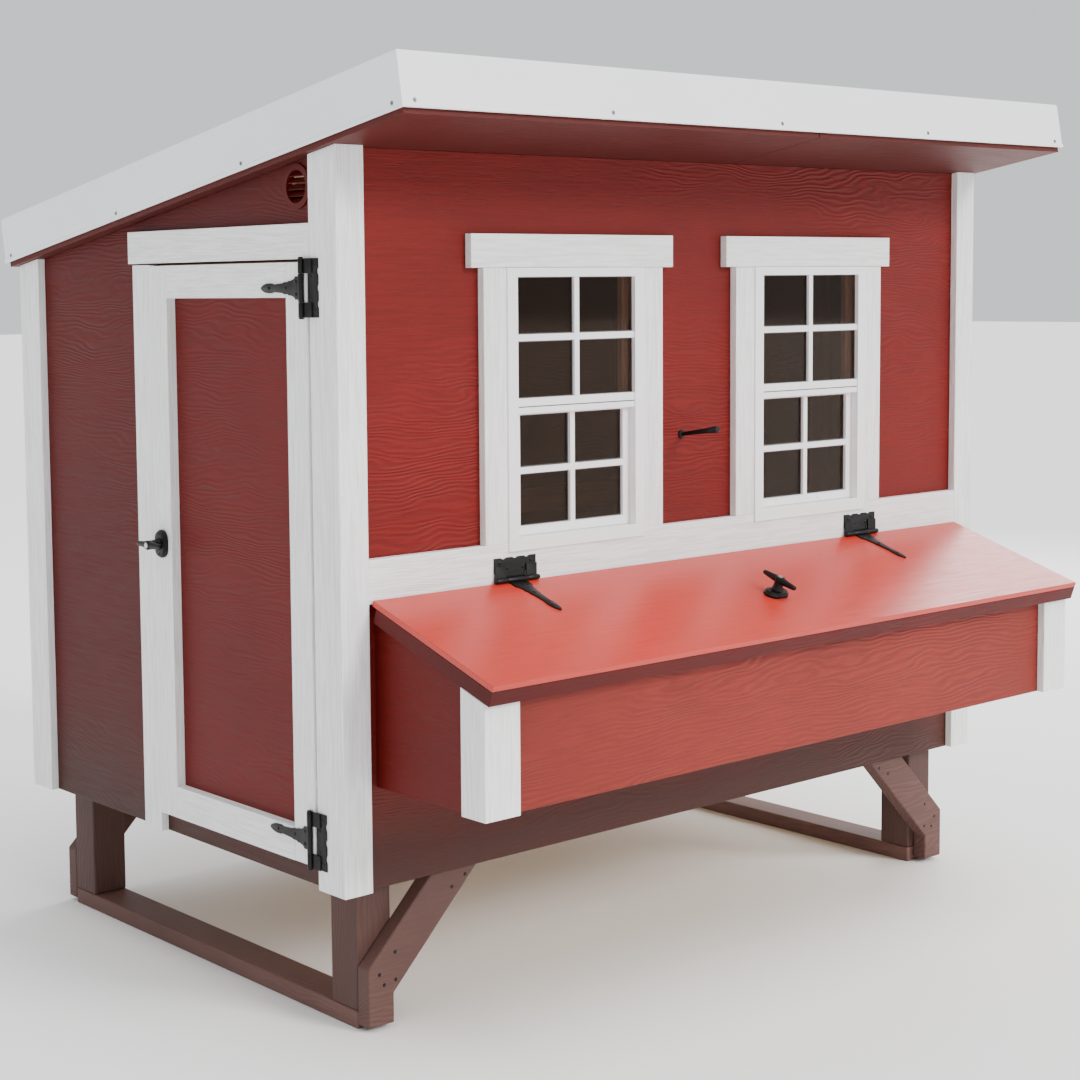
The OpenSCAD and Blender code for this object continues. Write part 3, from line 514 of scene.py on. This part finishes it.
def mitred_ring(bm, profile, lo, hi, place):
    """Sweeps a closed profile of (inset, level) round the rectangle lo to hi, mitred."""
    corners = ((0, 0), (1, 0), (1, 1), (0, 1))
    rings = []
    for cx, cy in corners:
        ring = []
        for inset, level in profile:
            x = hi[0] - inset if cx else lo[0] + inset
            y = hi[1] - inset if cy else lo[1] + inset
            ring.append(bm.verts.new(place @ Vector((x, y, level))))
        rings.append(ring)
    add_loop_strip(bm, rings)


def lathe(bm, profile, place, steps=32):
    """Turns a profile of (radius, height) round place's z axis, with both ends capped."""
    rings = []
    for r, z in profile:
        rings.append([bm.verts.new(place @ Vector((r * math.cos(2 * math.pi * k / steps),
                                                   r * math.sin(2 * math.pi * k / steps), z)))
                      for k in range(steps)])
    for a, b in zip(rings, rings[1:]):
        for i in range(steps):
            j = (i + 1) % steps
            bm.faces.new((a[i], a[j], b[j], b[i]))
    bm.faces.new(list(reversed(rings[0])))
    bm.faces.new(rings[-1])


def plate(bm, outline, low, high, place):
    """A flat plate: outline of (x, y) points, from low to high."""
    a = [bm.verts.new(place @ Vector((x, y, low))) for x, y in outline]
    b = [bm.verts.new(place @ Vector((x, y, high))) for x, y in outline]
    n = len(outline)
    bm.faces.new(list(reversed(a)))
    bm.faces.new(b)
    for i in range(n):
        j = (i + 1) % n
        bm.faces.new((a[i], a[j], b[j], b[i]))


def outward(bm):
    bmesh.ops.remove_doubles(bm, verts=bm.verts, dist=1e-6)
    bmesh.ops.recalc_face_normals(bm, faces=bm.faces)


# ---- Repeated small things: Geometry Nodes ----


def head_tree(name, hexed):
    """A tree that puts a screw head on every point, facing along the point's own direction."""
    tree = bpy.data.node_groups.new(name, "GeometryNodeTree")
    face = tree.interface
    face.new_socket("Geometry", in_out="INPUT", socket_type="NodeSocketGeometry")
    for label in ("Head radius", "Head height"):
        face.new_socket(label, in_out="INPUT", socket_type="NodeSocketFloat")
    face.new_socket("Finish", in_out="INPUT", socket_type="NodeSocketMaterial")
    face.new_socket("Geometry", in_out="OUTPUT", socket_type="NodeSocketGeometry")
    n, link = tree.nodes, tree.links.new
    gin, gout = n.new("NodeGroupInput"), n.new("NodeGroupOutput")

    def product(a, k):
        m = n.new("ShaderNodeMath")
        m.operation = "MULTIPLY"
        link(a, m.inputs[0])
        m.inputs[1].default_value = k
        return m.outputs[0]

    def disc(sides, bottom, top, height, lift):
        cone = n.new("GeometryNodeMeshCone")
        cone.inputs["Vertices"].default_value = sides
        link(product(gin.outputs["Head radius"], bottom), cone.inputs["Radius Bottom"])
        link(product(gin.outputs["Head radius"], top), cone.inputs["Radius Top"])
        link(product(gin.outputs["Head height"], height), cone.inputs["Depth"])
        move = n.new("GeometryNodeTransform")
        up = n.new("ShaderNodeCombineXYZ")
        link(product(gin.outputs["Head height"], lift), up.inputs["Z"])
        link(cone.outputs["Mesh"], move.inputs["Geometry"])
        link(up.outputs[0], move.inputs["Translation"])
        return move.outputs["Geometry"]

    join = n.new("GeometryNodeJoinGeometry")
    link(disc(16, 1.0, 0.92, 0.35, 0.0), join.inputs[0])
    if hexed:
        link(disc(6, 0.62, 0.60, 0.66, 0.34), join.inputs[0])
    else:
        link(disc(16, 0.90, 0.55, 0.5, 0.35), join.inputs[0])
        link(disc(16, 0.55, 0.18, 0.15, 0.85), join.inputs[0])
    way = n.new("GeometryNodeInputNamedAttribute")
    way.data_type = "FLOAT_VECTOR"
    way.inputs["Name"].default_value = "facing"
    turn = n.new("FunctionNodeAlignRotationToVector")
    turn.axis = "Z"
    link(way.outputs["Attribute"], turn.inputs["Vector"])
    inst = n.new("GeometryNodeInstanceOnPoints")
    link(gin.outputs["Geometry"], inst.inputs["Points"])
    link(join.outputs[0], inst.inputs["Instance"])
    link(turn.outputs["Rotation"], inst.inputs["Rotation"])
    real = n.new("GeometryNodeRealizeInstances")
    paint = n.new("GeometryNodeSetMaterial")
    link(inst.outputs["Instances"], real.inputs["Geometry"])
    link(real.outputs["Geometry"], paint.inputs["Geometry"])
    link(gin.outputs["Finish"], paint.inputs["Material"])
    link(paint.outputs["Geometry"], gout.inputs[0])
    return tree


def set_inputs(mod, tree, values):
    """Sets a modifier's inputs by their sockets' identifiers."""
    ids = {s.name: s.identifier for s in tree.interface.items_tree
           if s.item_type == "SOCKET" and s.in_out == "INPUT"}
    for label, value in values.items():
        mod[ids[label]] = value


def baked(obj, name):
    """The object's evaluated shape as a plain mesh object, in place of obj."""
    bpy.context.view_layer.update()
    deps = bpy.context.evaluated_depsgraph_get()
    mesh = bpy.data.meshes.new_from_object(obj.evaluated_get(deps))
    mats = list(mesh.materials)
    bpy.data.objects.remove(obj)
    new = bpy.data.objects.new(name, mesh)
    if not mats:
        raise RuntimeError(name + " has no finish")
    bpy.context.scene.collection.objects.link(new)
    return new


TREES = {}


def screw_heads(name, points, mat_key, body, radius, height, hexed=False, nodes=()):
    """Screw heads at points of (place, facing)."""
    key = "Hex heads" if hexed else "Round heads"
    if key not in TREES:
        TREES[key] = head_tree(key, hexed)
    mesh = bpy.data.meshes.new(name + "_points")
    mesh.from_pydata([tuple(p) for p, _ in points], [], [])
    attr = mesh.attributes.new("facing", "FLOAT_VECTOR", "POINT")
    for i, (_, d) in enumerate(points):
        attr.data[i].vector = d
    obj = bpy.data.objects.new(name + "_points", mesh)
    bpy.context.scene.collection.objects.link(obj)
    mod = obj.modifiers.new("Heads", "NODES")
    mod.node_group = TREES[key]
    set_inputs(mod, TREES[key], {"Head radius": radius, "Head height": height,
                                 "Finish": material(mat_key)})
    return finish_piece(baked(obj, name), body, nodes)


# ---- Operators: one for each group of pieces ----


class COOP_OT_siding(bpy.types.Operator):
    """Siding on the four walls, with grain embossed along it"""
    bl_idname = "coop.siding"
    bl_label = "Siding"

    def execute(self, context):
        w = sizes().board_ease * 0.5
        for node, key in (("front_siding", "red siding x"), ("back_siding", "red siding x"),
                          ("left_siding", "red siding y, painted shade"), ("right_siding", "red siding y, painted shade")):
            eased_boards(node, w, key, "coop", 1)
        repaint("wall_vents", "shaded red plastic")
        return {"FINISHED"}


class COOP_OT_trim(bpy.types.Operator):
    """White trim boards at the corners, the windows and the door"""
    bl_idname = "coop.trim"
    bl_label = "Trim boards"

    def execute(self, context):
        w = sizes().trim_ease
        up, front, back = "white along z", FRONT_Y, FRONT_Y + BODY_D
        for node, y in (("front_corner_trim", front), ("back_corner_trim", back)):
            split_boards(node, ((up, ((1, -1, y - SEAM),)), (up, ((1, 1, y + SEAM),))), w, "coop")
        for side in ("left", "right"):
            node = side + "_window_trim"
            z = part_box(node)[1][2] - TRIM_W
            split_boards(node, (("white along x", ((2, 1, z + SEAM),)), (up, ((2, -1, z - SEAM),))),
                         w, "coop")
        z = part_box("door_trim")[1][2] - HEAD_H
        split_boards("door_trim", (("white along y", ((2, 1, z + 0.003),)),
                                   (up, ((2, -1, z - SEAM),))), w, "coop")
        for node, key in (("front_band", "white along x"), ("nest_corner_trim", up),
                          ("pop_door_tracks", up)):
            eased_boards(node, w, key, "coop")
        return {"FINISHED"}


class COOP_OT_nest_box(bpy.types.Operator):
    """Nest box panels and the lid with its edge boards"""
    bl_idname = "coop.nest_box"
    bl_label = "Nest box"

    def execute(self, context):
        w = sizes().board_ease
        eased_boards("nest_front", w, "nest red", "coop")
        eased_boards("nest_sides", w, "shaded red along y", "coop")
        eased_boards("lid_panel", w * 1.2, "sunlit red lid", "nest_lid", 3)
        eased_boards("lid_edging", w * 0.6, "shaded lid edge red", "nest_lid")
        return {"FINISHED"}


class COOP_OT_side_door(bpy.types.Operator):
    """Side door: a white board frame on a red panel"""
    bl_idname = "coop.side_door"
    bl_label = "Side door"

    def execute(self, context):
        low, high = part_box("door_boards")
        up, lower, upper = "white along z", low[1] + STILE_W, high[1] - STILE_W
        rails = ((1, 1, lower + SEAM), (1, -1, upper - SEAM))
        split_boards("door_boards", ((up, ((1, -1, lower - SEAM),)), (up, ((1, 1, upper + SEAM),)),
                                     ("white along y", rails)),
                     sizes().trim_ease, "side_door")
        eased_boards("door_panel", sizes().board_ease * 0.5, "shaded red along y", "side_door",
                     1)
        return {"FINISHED"}


class COOP_OT_skids(bpy.types.Operator):
    """Skid rails, posts and braces"""
    bl_idname = "coop.skids"
    bl_label = "Skids"

    def execute(self, context):
        w = sizes().lumber_ease
        for node, key in (("left_skid_rail", "dusty and lit brown along y"), ("right_skid_rail", "dusty and lit brown along y"),
                          ("leg_posts", "brown along z"), ("leg_braces", "lit brown along x")):
            eased_boards(node, w, key, "coop", 3)
        low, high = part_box("leg_braces")
        points = []
        for along, up in ((0.069, 0.157), (0.028, 0.118), (0.070, 0.099), (0.040, 0.094),
                          (0.258, 0.282), (0.222, 0.262)):
            for x in (low[0] + along, high[0] - along):
                points.append((Vector((x, low[1], up)), Vector((0, -1, 0))))
                points.append((Vector((x, high[1], up)), Vector((0, 1, 0))))
        screw_heads("brace_screws", points, "black", "coop",
                    sizes().screw_radius, 0.0008)
        return {"FINISHED"}


class COOP_OT_inside(bpy.types.Operator):
    """Framing, floor, roosts and nest dividers, in bare pine"""
    bl_idname = "coop.inside"
    bl_label = "Inside"

    def execute(self, context):
        w = sizes().board_ease
        for node, key in (("floor_joists", "timber along y"), ("floor_deck", "timber along x"),
                          ("wall_studs", "timber along z"), ("door_stop", "timber along z"),
                          ("nest_floor", "timber along x"), ("nest_dividers", "timber along y"),
                          ("roof_rafters", "timber along y"), ("roof_deck", "timber along x")):
            repaint(node, key)
        eased_boards("roost_bars", w * 2, "timber along x", "coop", 3)
        return {"FINISHED"}


class COOP_OT_roof(bpy.types.Operator):
    """Soffit, sheet roof with raised seams, and the hemmed steel edge"""
    bl_idname = "coop.roof"
    bl_label = "Roof"

    def execute(self, context):
        self.soffit()
        self.edge()
        self.sheet()
        self.screws()
        return {"FINISHED"}

    def soffit(self):
        """Two panels that meet at a seam."""
        seam, gap, t = 0.128, 0.0012, 0.012
        x, y0, y1 = ROOF_HALF - 0.008, -ROOF_FRONT + 0.008, ROOF_BACK - 0.008
        bm = bmesh.new()
        for x0, x1 in ((-x, seam - gap), (seam + gap, x)):
            plate(bm, ((x0, y0), (x1, y0), (x1, y1), (x0, y1)), 0, t, roof_place())
        ease_edges(bm, 0.0016, 2)
        obj = object_from(bm, "soffit_panels", material("soffit"))
        finish_piece(obj, "coop", ("roof_soffit",))

    def edge(self):
        top, low, hem = ROOF_TOP, FASCIA_LOW, sizes().hem
        t, out = 0.0015, 0.0016
        profile = [(0.040, top), (0.004, top), (0.0015, top - 0.0008), (0.0002, top - 0.003),
                   (0.0, top - 0.006), (0.0, low + hem + 0.002), (-out, low + hem - 0.0005),
                   (-out, low + 0.0012), (-out + 0.0012, low), (t + 0.001, low),
                   (t, low + 0.003), (t, top - 0.005), (0.004, top - t), (0.040, top - t)]
        bm = bmesh.new()
        mitred_ring(bm, profile, (-ROOF_HALF, -ROOF_FRONT), (ROOF_HALF, ROOF_BACK), roof_place())
        outward(bm)
        obj = object_from(bm, "roof_edge", material("roof steel"))
        finish_piece(obj, "coop", ("roof_fascia",))

    def sheet(self):
        repaint("roof_sheet", "roof steel")

    def screws(self):
        place = roof_place()
        turn = place.to_3x3()
        z = FASCIA_LOW + 0.014
        inn = 0.030
        points = []
        for i in range(5):
            x = -ROOF_HALF + inn + i * 2 * (ROOF_HALF - inn) / 4
            points.append((place @ Vector((x, -ROOF_FRONT, z)), turn @ Vector((0, -1, 0))))
            points.append((place @ Vector((x, ROOF_BACK, z)), turn @ Vector((0, 1, 0))))
        for i in range(4):
            y = -ROOF_FRONT + inn + i * (ROOF_BACK + ROOF_FRONT - 2 * inn) / 3
            for s in (-1, 1):
                points.append((place @ Vector((s * ROOF_HALF, y, z)), Vector((s, 0, 0))))
        screw_heads("roof_edge_screw_heads", points, "screw steel", "coop",
                    0.0044, 0.0021, True, ("roof_edge_screws",))


class COOP_OT_windows(bpy.types.Operator):
    """Window frames, sashes and their glass"""
    bl_idname = "coop.windows"
    bl_label = "Windows"

    def execute(self, context):
        w = sizes().plastic_ease
        for side in ("left", "right"):
            eased_boards(side + "_window_frame", w, "vinyl", "coop")
            eased_boards(side + "_lower_sash", w, "vinyl", side + "_sash")
            for light, body in (("_upper", "coop"), ("_lower", side + "_sash")):
                repaint(side + light + "_glass", "glass")
                # Painted shade: dark beads round each pane.
                self.pane_edge_shade(side + light, body)
            # Painted shadow: a dark strip on the meeting rail.
            self.shade_under_meeting_rail(side)
        return {"FINISHED"}

    def pane_edge_shade(self, name, body):
        """A dark bead round each of a light's four panes, on the face of the glass: painted shade
        along the panes' edges.
        """
        low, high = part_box(name + "_glass")
        half_bar, wide, proud = 0.0075, 0.0020, 0.0007
        bm = bmesh.new()
        mid = ((low[0] + high[0]) / 2, (low[2] + high[2]) / 2)
        profile = ((0, 0), (wide, 0), (wide, proud), (0, proud))
        for x0, x1 in ((low[0], mid[0] - half_bar), (mid[0] + half_bar, high[0])):
            for z0, z1 in ((low[2], mid[1] - half_bar), (mid[1] + half_bar, high[2])):
                mitred_ring(bm, profile, (x0, z0), (x1, z1),
                            translation(0, low[1], 0) @ Matrix.Rotation(math.pi / 2, 4, "X"))
        outward(bm)
        finish_piece(object_from(bm, name + "_gaskets", material("painted shade grey")), body)

    def shade_under_meeting_rail(self, side):
        """A dark strip let into the face of the meeting rail: a painted shadow line where the
        sashes meet.
        """
        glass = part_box(side + "_upper_glass")
        z = glass[0][2] - 0.018
        y0, y1 = glass[0][1] - 0.0083, glass[0][1] - 0.0070
        bm = bmesh.new()
        plate(bm, ((glass[0][0], y0), (glass[1][0], y0), (glass[1][0], y1), (glass[0][0], y1)),
              z - 0.0012, z + 0.0012, Matrix.Identity(4))
        outward(bm)
        ease_edges(bm, 0.0003, 2)
        finish_piece(object_from(bm, side + "_meeting_rail_shadow_strip", material("painted shade grey")), "coop")


def door_hinge_places():
    """Frames of the door's hinges: z along the pin, x towards the wall, y along the strap."""
    low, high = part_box("door_boards")
    x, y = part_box("front_corner_trim")[0][0] - LEAF_OFF, low[1] + 0.009
    return [translation(x, y, z) for z in (low[2] + 0.056, high[2] - 0.051)]


def lid_hinge_places(strap):
    """The same for the lid's hinges; the strap's frame lies along the lid."""
    y = BAND_FACE - LEAF_OFF
    z = LID_Z - LEAF_OFF * math.tan(LID_PITCH) + HINGE_OFF / math.cos(LID_PITCH)
    turn = Matrix(((0, 0, -1, 0), (1, 0, 0, 0), (0, -1, 0, 0), (0, 0, 0, 1)))
    tilt = Matrix.Rotation(math.pi / 2 - LID_PITCH if strap else 0, 4, "Z")
    return [translation(MID_X + x, y, z) @ turn @ tilt for x in (-0.567, 0.567)]


class COOP_OT_hinges(bpy.types.Operator):
    """T-hinges on the side door and the lid, with their screws"""
    bl_idname = "coop.hinges"
    bl_label = "T-hinges"

    def execute(self, context):
        r = sizes().screw_radius
        for kind, body, leaves, straps in (
                ("door", "side_door", door_hinge_places(), door_hinge_places()),
                ("lid", "nest_lid", lid_hinge_places(False), lid_hinge_places(True))):
            for part, ride in (("leaves", "coop"), ("straps", body), ("pins", "coop")):
                node = kind + "_hinge_" + part
                bm = merged_copy(node)
                # A black plate fills the slot between each lid leaf and its pin, so the slot reads
                # dark.
                if kind == "lid" and part == "leaves":
                    for m in leaves:
                        plate(bm, ((0.0065, -0.017), (LEAF_OFF, -0.017), (LEAF_OFF, -0.001),
                                   (0.0065, -0.001)), -0.027, 0.027, m)
                ease_edges(bm, 0.0005, 2, 40)
                obj = object_from(bm, node + "_eased", material("black"), 30)
                finish_piece(obj, ride, (node,))
            for part, ride, places, spots, face in (
                    ("leaf", "coop", leaves, ((-0.037, -0.044), (-0.037, 0.044), (-0.025, -0.022),
                                              (-0.025, 0.022)), LEAF_OFF - 0.003),
                    ("strap", body, straps, ((0.022, -0.013), (0.022, 0.013), (0.057, 0),
                                             (0.115, 0)), HINGE_OFF - 0.003)):
                points = [(m @ Vector((face, y, z)), m.to_3x3() @ Vector((-1, 0, 0)))
                          for m in places for y, z in spots]
                screw_heads("%s_hinge_%s_screws" % (kind, part), points, "black", ride,
                            r, 0.0016)
        return {"FINISHED"}


def door_latch_place():
    low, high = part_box("door_latch_plate")
    return translation(DOOR_FACE, (low[1] + high[1]) / 2, (low[2] + high[2]) / 2) \
        @ Matrix.Rotation(-math.pi / 2, 4, "Y")


def lid_latch_place():
    return lid_place() @ translation(0.018, -0.220, 0)


class COOP_OT_latches(bpy.types.Operator):
    """T-handled latches on the side door and the lid"""
    bl_idname = "coop.latches"
    bl_label = "Latches"

    def execute(self, context):
        for kind, owner, place in (("door", "side_door", door_latch_place()),
                                   ("lid", "nest_lid", lid_latch_place())):
            node = kind + "_latch_plate"
            bm = merged_copy(node)
            thicker = place @ Matrix.Diagonal((1, 1, 1.45, 1)) @ place.inverted()
            for v in bm.verts:
                if (place.inverted() @ v.co).z > 0:
                    v.co = thicker @ v.co
            ease_edges(bm, 0.0016, 3, 40)
            finish_piece(object_from(bm, node + "_eased", material("black"), 35), owner,
                         (node,))
            self.handle(kind, place)
            repaint(kind + "_latch_cam", "black")
            points = [(place @ Vector((s * 0.022, 0, 0.0112)), place.to_3x3() @ Vector((0, 0, 1)))
                      for s in (-1, 1)]
            screw_heads(kind + "_latch_plate_screws", points, "black", owner,
                        0.0036, 0.0014)
        return {"FINISHED"}

    def handle(self, kind, place):
        """A tapered cross bar on a waisted stem, with a key cylinder in its head."""
        depth = 0.0515 if kind == "door" else 0.054
        bm = bmesh.new()
        stem = ((0.0060, -depth), (0.0060, 0.0100), (0.0128, 0.0108), (0.0130, 0.0128),
                (0.0118, 0.0160), (0.0106, 0.0230), (0.0100, 0.0300), (0.0102, 0.0360),
                (0.0104, 0.0410), (0.0098, 0.0432), (0.0080, 0.0441))
        lathe(bm, stem, place, 32)
        bar = ((0.0026, -0.0470), (0.0042, -0.0462), (0.0051, -0.0440), (0.0057, -0.0380),
               (0.0066, -0.0250), (0.0080, -0.0120), (0.0086, -0.0040), (0.0086, 0.0040),
               (0.0080, 0.0120), (0.0066, 0.0250), (0.0057, 0.0380), (0.0051, 0.0440),
               (0.0042, 0.0462), (0.0026, 0.0470))
        lathe(bm, bar, place @ translation(0, 0, 0.0355) @ Matrix.Rotation(-math.pi / 2, 4, "X"),
              24)
        outward(bm)
        node = kind + "_latch_handle"
        obj = object_from(bm, kind + "_latch_bar", material("black"), 40)
        finish_piece(obj, kind + "_latch", (node,))
        bm = bmesh.new()
        face = ((0.0062, 0.0436), (0.0062, 0.0447), (0.0056, 0.0450), (0.0024, 0.0450),
                (0.0024, 0.0446), (0.0006, 0.0446))
        lathe(bm, face, place, 28)
        outward(bm)
        obj = object_from(bm, kind + "_latch_key_cylinder", material("key steel"), 40)
        finish_piece(obj, kind + "_latch")


class COOP_OT_stop_peg(bpy.types.Operator):
    """Peg that the open lid leans on"""
    bl_idname = "coop.stop_peg"
    bl_label = "Lid stop peg"

    def execute(self, context):
        low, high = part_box("lid_stop")
        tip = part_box("lid_stop_tip")
        centre = ((low[0] + high[0]) / 2, FRONT_Y, (low[2] + high[2]) / 2)
        square = translation(*centre) @ Matrix.Rotation(math.pi / 2, 4, "X")
        place = translation(*centre) @ Matrix.Rotation(math.radians(81.5), 4, "X")
        length = FRONT_Y - tip[0][1]
        join = FRONT_Y - tip[1][1]
        bm = bmesh.new()
        lathe(bm, ((0.0100, 0.0), (0.0100, 0.0018), (0.0090, 0.0034), (0.0052, 0.0042),
                   (0.0044, 0.0060)), square, 32)
        lathe(bm, ((0.0040, -0.002), (0.0042, 0.0060), (0.0050, 0.0300), (0.0060, join)),
              place, 32)
        outward(bm)
        finish_piece(object_from(bm, "stop_peg_rod", material("black"), 35), "coop",
                     ("lid_stop",))
        bm = bmesh.new()
        lathe(bm, ((0.0061, join), (0.0070, join + 0.0015), (0.0073, join + 0.008),
                   (0.0076, length - 0.004), (0.0072, length - 0.0015), (0.0060, length)),
              place, 32)
        outward(bm)
        finish_piece(object_from(bm, "stop_peg_tip", material("rubber"), 35), "coop",
                     ("lid_stop_tip",))
        return {"FINISHED"}


class COOP_OT_hen_door(bpy.types.Operator):
    """Sliding hen door on the right wall"""
    bl_idname = "coop.hen_door"
    bl_label = "Hen door"

    def execute(self, context):
        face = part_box("pop_door")[1][0] - TRIM_T
        split_boards("pop_door", (("hen door red", ((0, -1, face - SEAM),)),
                                  ("white along y", ((0, 1, face + SEAM),))),
                     sizes().board_ease, "hen_door")
        return {"FINISHED"}


class COOP_OT_stage(bpy.types.Operator):
    """Pale floor, soft studio lights and the camera"""
    bl_idname = "coop.stage"
    bl_label = "Stage"

    def execute(self, context):
        self.floor()
        self.lights()
        self.camera()
        return {"FINISHED"}

    def floor(self):
        size = 60.0
        mesh = bpy.data.meshes.new("floor")
        mesh.from_pydata([(-size, -size, 0), (size, -size, 0), (size, size, 0), (-size, size, 0)],
                         [], [(0, 1, 2, 3)])
        mat, nodes, links, shader = new_material("Pale floor")
        shader.inputs["Base Color"].default_value = (0.92, 0.92, 0.92, 1)
        shader.inputs["Roughness"].default_value = 0.9
        shader.inputs["Specular IOR Level"].default_value = 0.1
        add_object("floor", mesh, mat)

    def lights(self):
        world = bpy.data.worlds.new("Studio")
        bpy.context.scene.world = world
        world.use_nodes = True
        back = world.node_tree.nodes["Background"]
        back.inputs["Color"].default_value = (0.95, 0.98, 1.0, 1)
        back.inputs["Strength"].default_value = 0.92
        for name, kind, spot, energy, spread_out, colour in (
                ("Front", "SUN", (1.6, -4.6, 3.6), 2.5, 0.30, (1.0, 0.975, 0.94)),
                ("Overhead", "SUN", (0.6, -1.4, 6.0), 2.3, 0.9, (1.0, 0.98, 0.96)),
                ("Sheen", "AREA", (6.0, 2.2, 3.6), 220, 3.0, (1.0, 0.98, 0.96))):
            data = bpy.data.lights.new(name, kind)
            data.energy = energy
            data.color = colour
            if kind == "SUN":
                data.angle = spread_out
            else:
                data.size = spread_out
            lamp = bpy.data.objects.new(name, data)
            lamp.location = spot
            aim = Vector((0, -0.1, 0.9)) - Vector(spot)
            lamp.rotation_euler = aim.to_track_quat("-Z", "Y").to_euler()
            bpy.context.scene.collection.objects.link(lamp)

    def camera(self):
        yaw, pitch, roll = (math.radians(a) for a in (39.55, -4.935, -0.627))
        ahead = Vector((math.sin(yaw) * math.cos(pitch), math.cos(yaw) * math.cos(pitch),
                        math.sin(pitch)))
        right = Vector((math.cos(yaw), -math.sin(yaw), 0))
        up = right.cross(ahead)
        r2 = right * math.cos(roll) + up * math.sin(roll)
        u2 = up * math.cos(roll) - right * math.sin(roll)
        data = bpy.data.cameras.new("Camera")
        data.sensor_width = 36.0
        data.lens = sizes().lens
        data.shift_x = 0.0996
        data.shift_y = -0.0738
        cam = bpy.data.objects.new("Camera", data)
        turn = Matrix((r2, u2, -ahead)).transposed().to_4x4()
        cam.matrix_world = translation(-3.3484, -3.5889, 1.508) @ turn
        bpy.context.scene.collection.objects.link(cam)
        bpy.context.scene.camera = cam


OPERATORS = (
    COOP_OT_siding, COOP_OT_trim, COOP_OT_nest_box, COOP_OT_side_door, COOP_OT_skids,
    COOP_OT_inside, COOP_OT_roof, COOP_OT_windows, COOP_OT_hinges, COOP_OT_latches,
    COOP_OT_stop_peg, COOP_OT_hen_door, COOP_OT_stage,
)


class COOP_PT_panel(bpy.types.Panel):
    """Lists the coop's pieces"""
    bl_idname = "COOP_PT_panel"
    bl_label = "Chicken coop"
    bl_space_type = "VIEW_3D"
    bl_region_type = "UI"
    bl_category = "Coop"

    def draw(self, context):
        for group in (context.scene.coop_sizes, context.scene.coop_colours):
            box = self.layout.box()
            for key in group.__annotations__:
                box.prop(group, key)
        for op in OPERATORS:
            self.layout.operator(op.bl_idname)


CLASSES = (CoopSizes, CoopColours) + OPERATORS + (COOP_PT_panel,)


def register():
    for c in CLASSES:
        bpy.utils.register_class(c)
    bpy.types.Scene.coop_sizes = bpy.props.PointerProperty(type=CoopSizes)
    bpy.types.Scene.coop_colours = bpy.props.PointerProperty(type=CoopColours)


def unregister():
    del bpy.types.Scene.coop_colours
    del bpy.types.Scene.coop_sizes
    for c in reversed(CLASSES):
        bpy.utils.unregister_class(c)


def main():
    register()
    for op in OPERATORS:
        group, name = op.bl_idname.split(".")
        getattr(getattr(bpy.ops, group), name)()


if __name__ == "__main__":
    main()
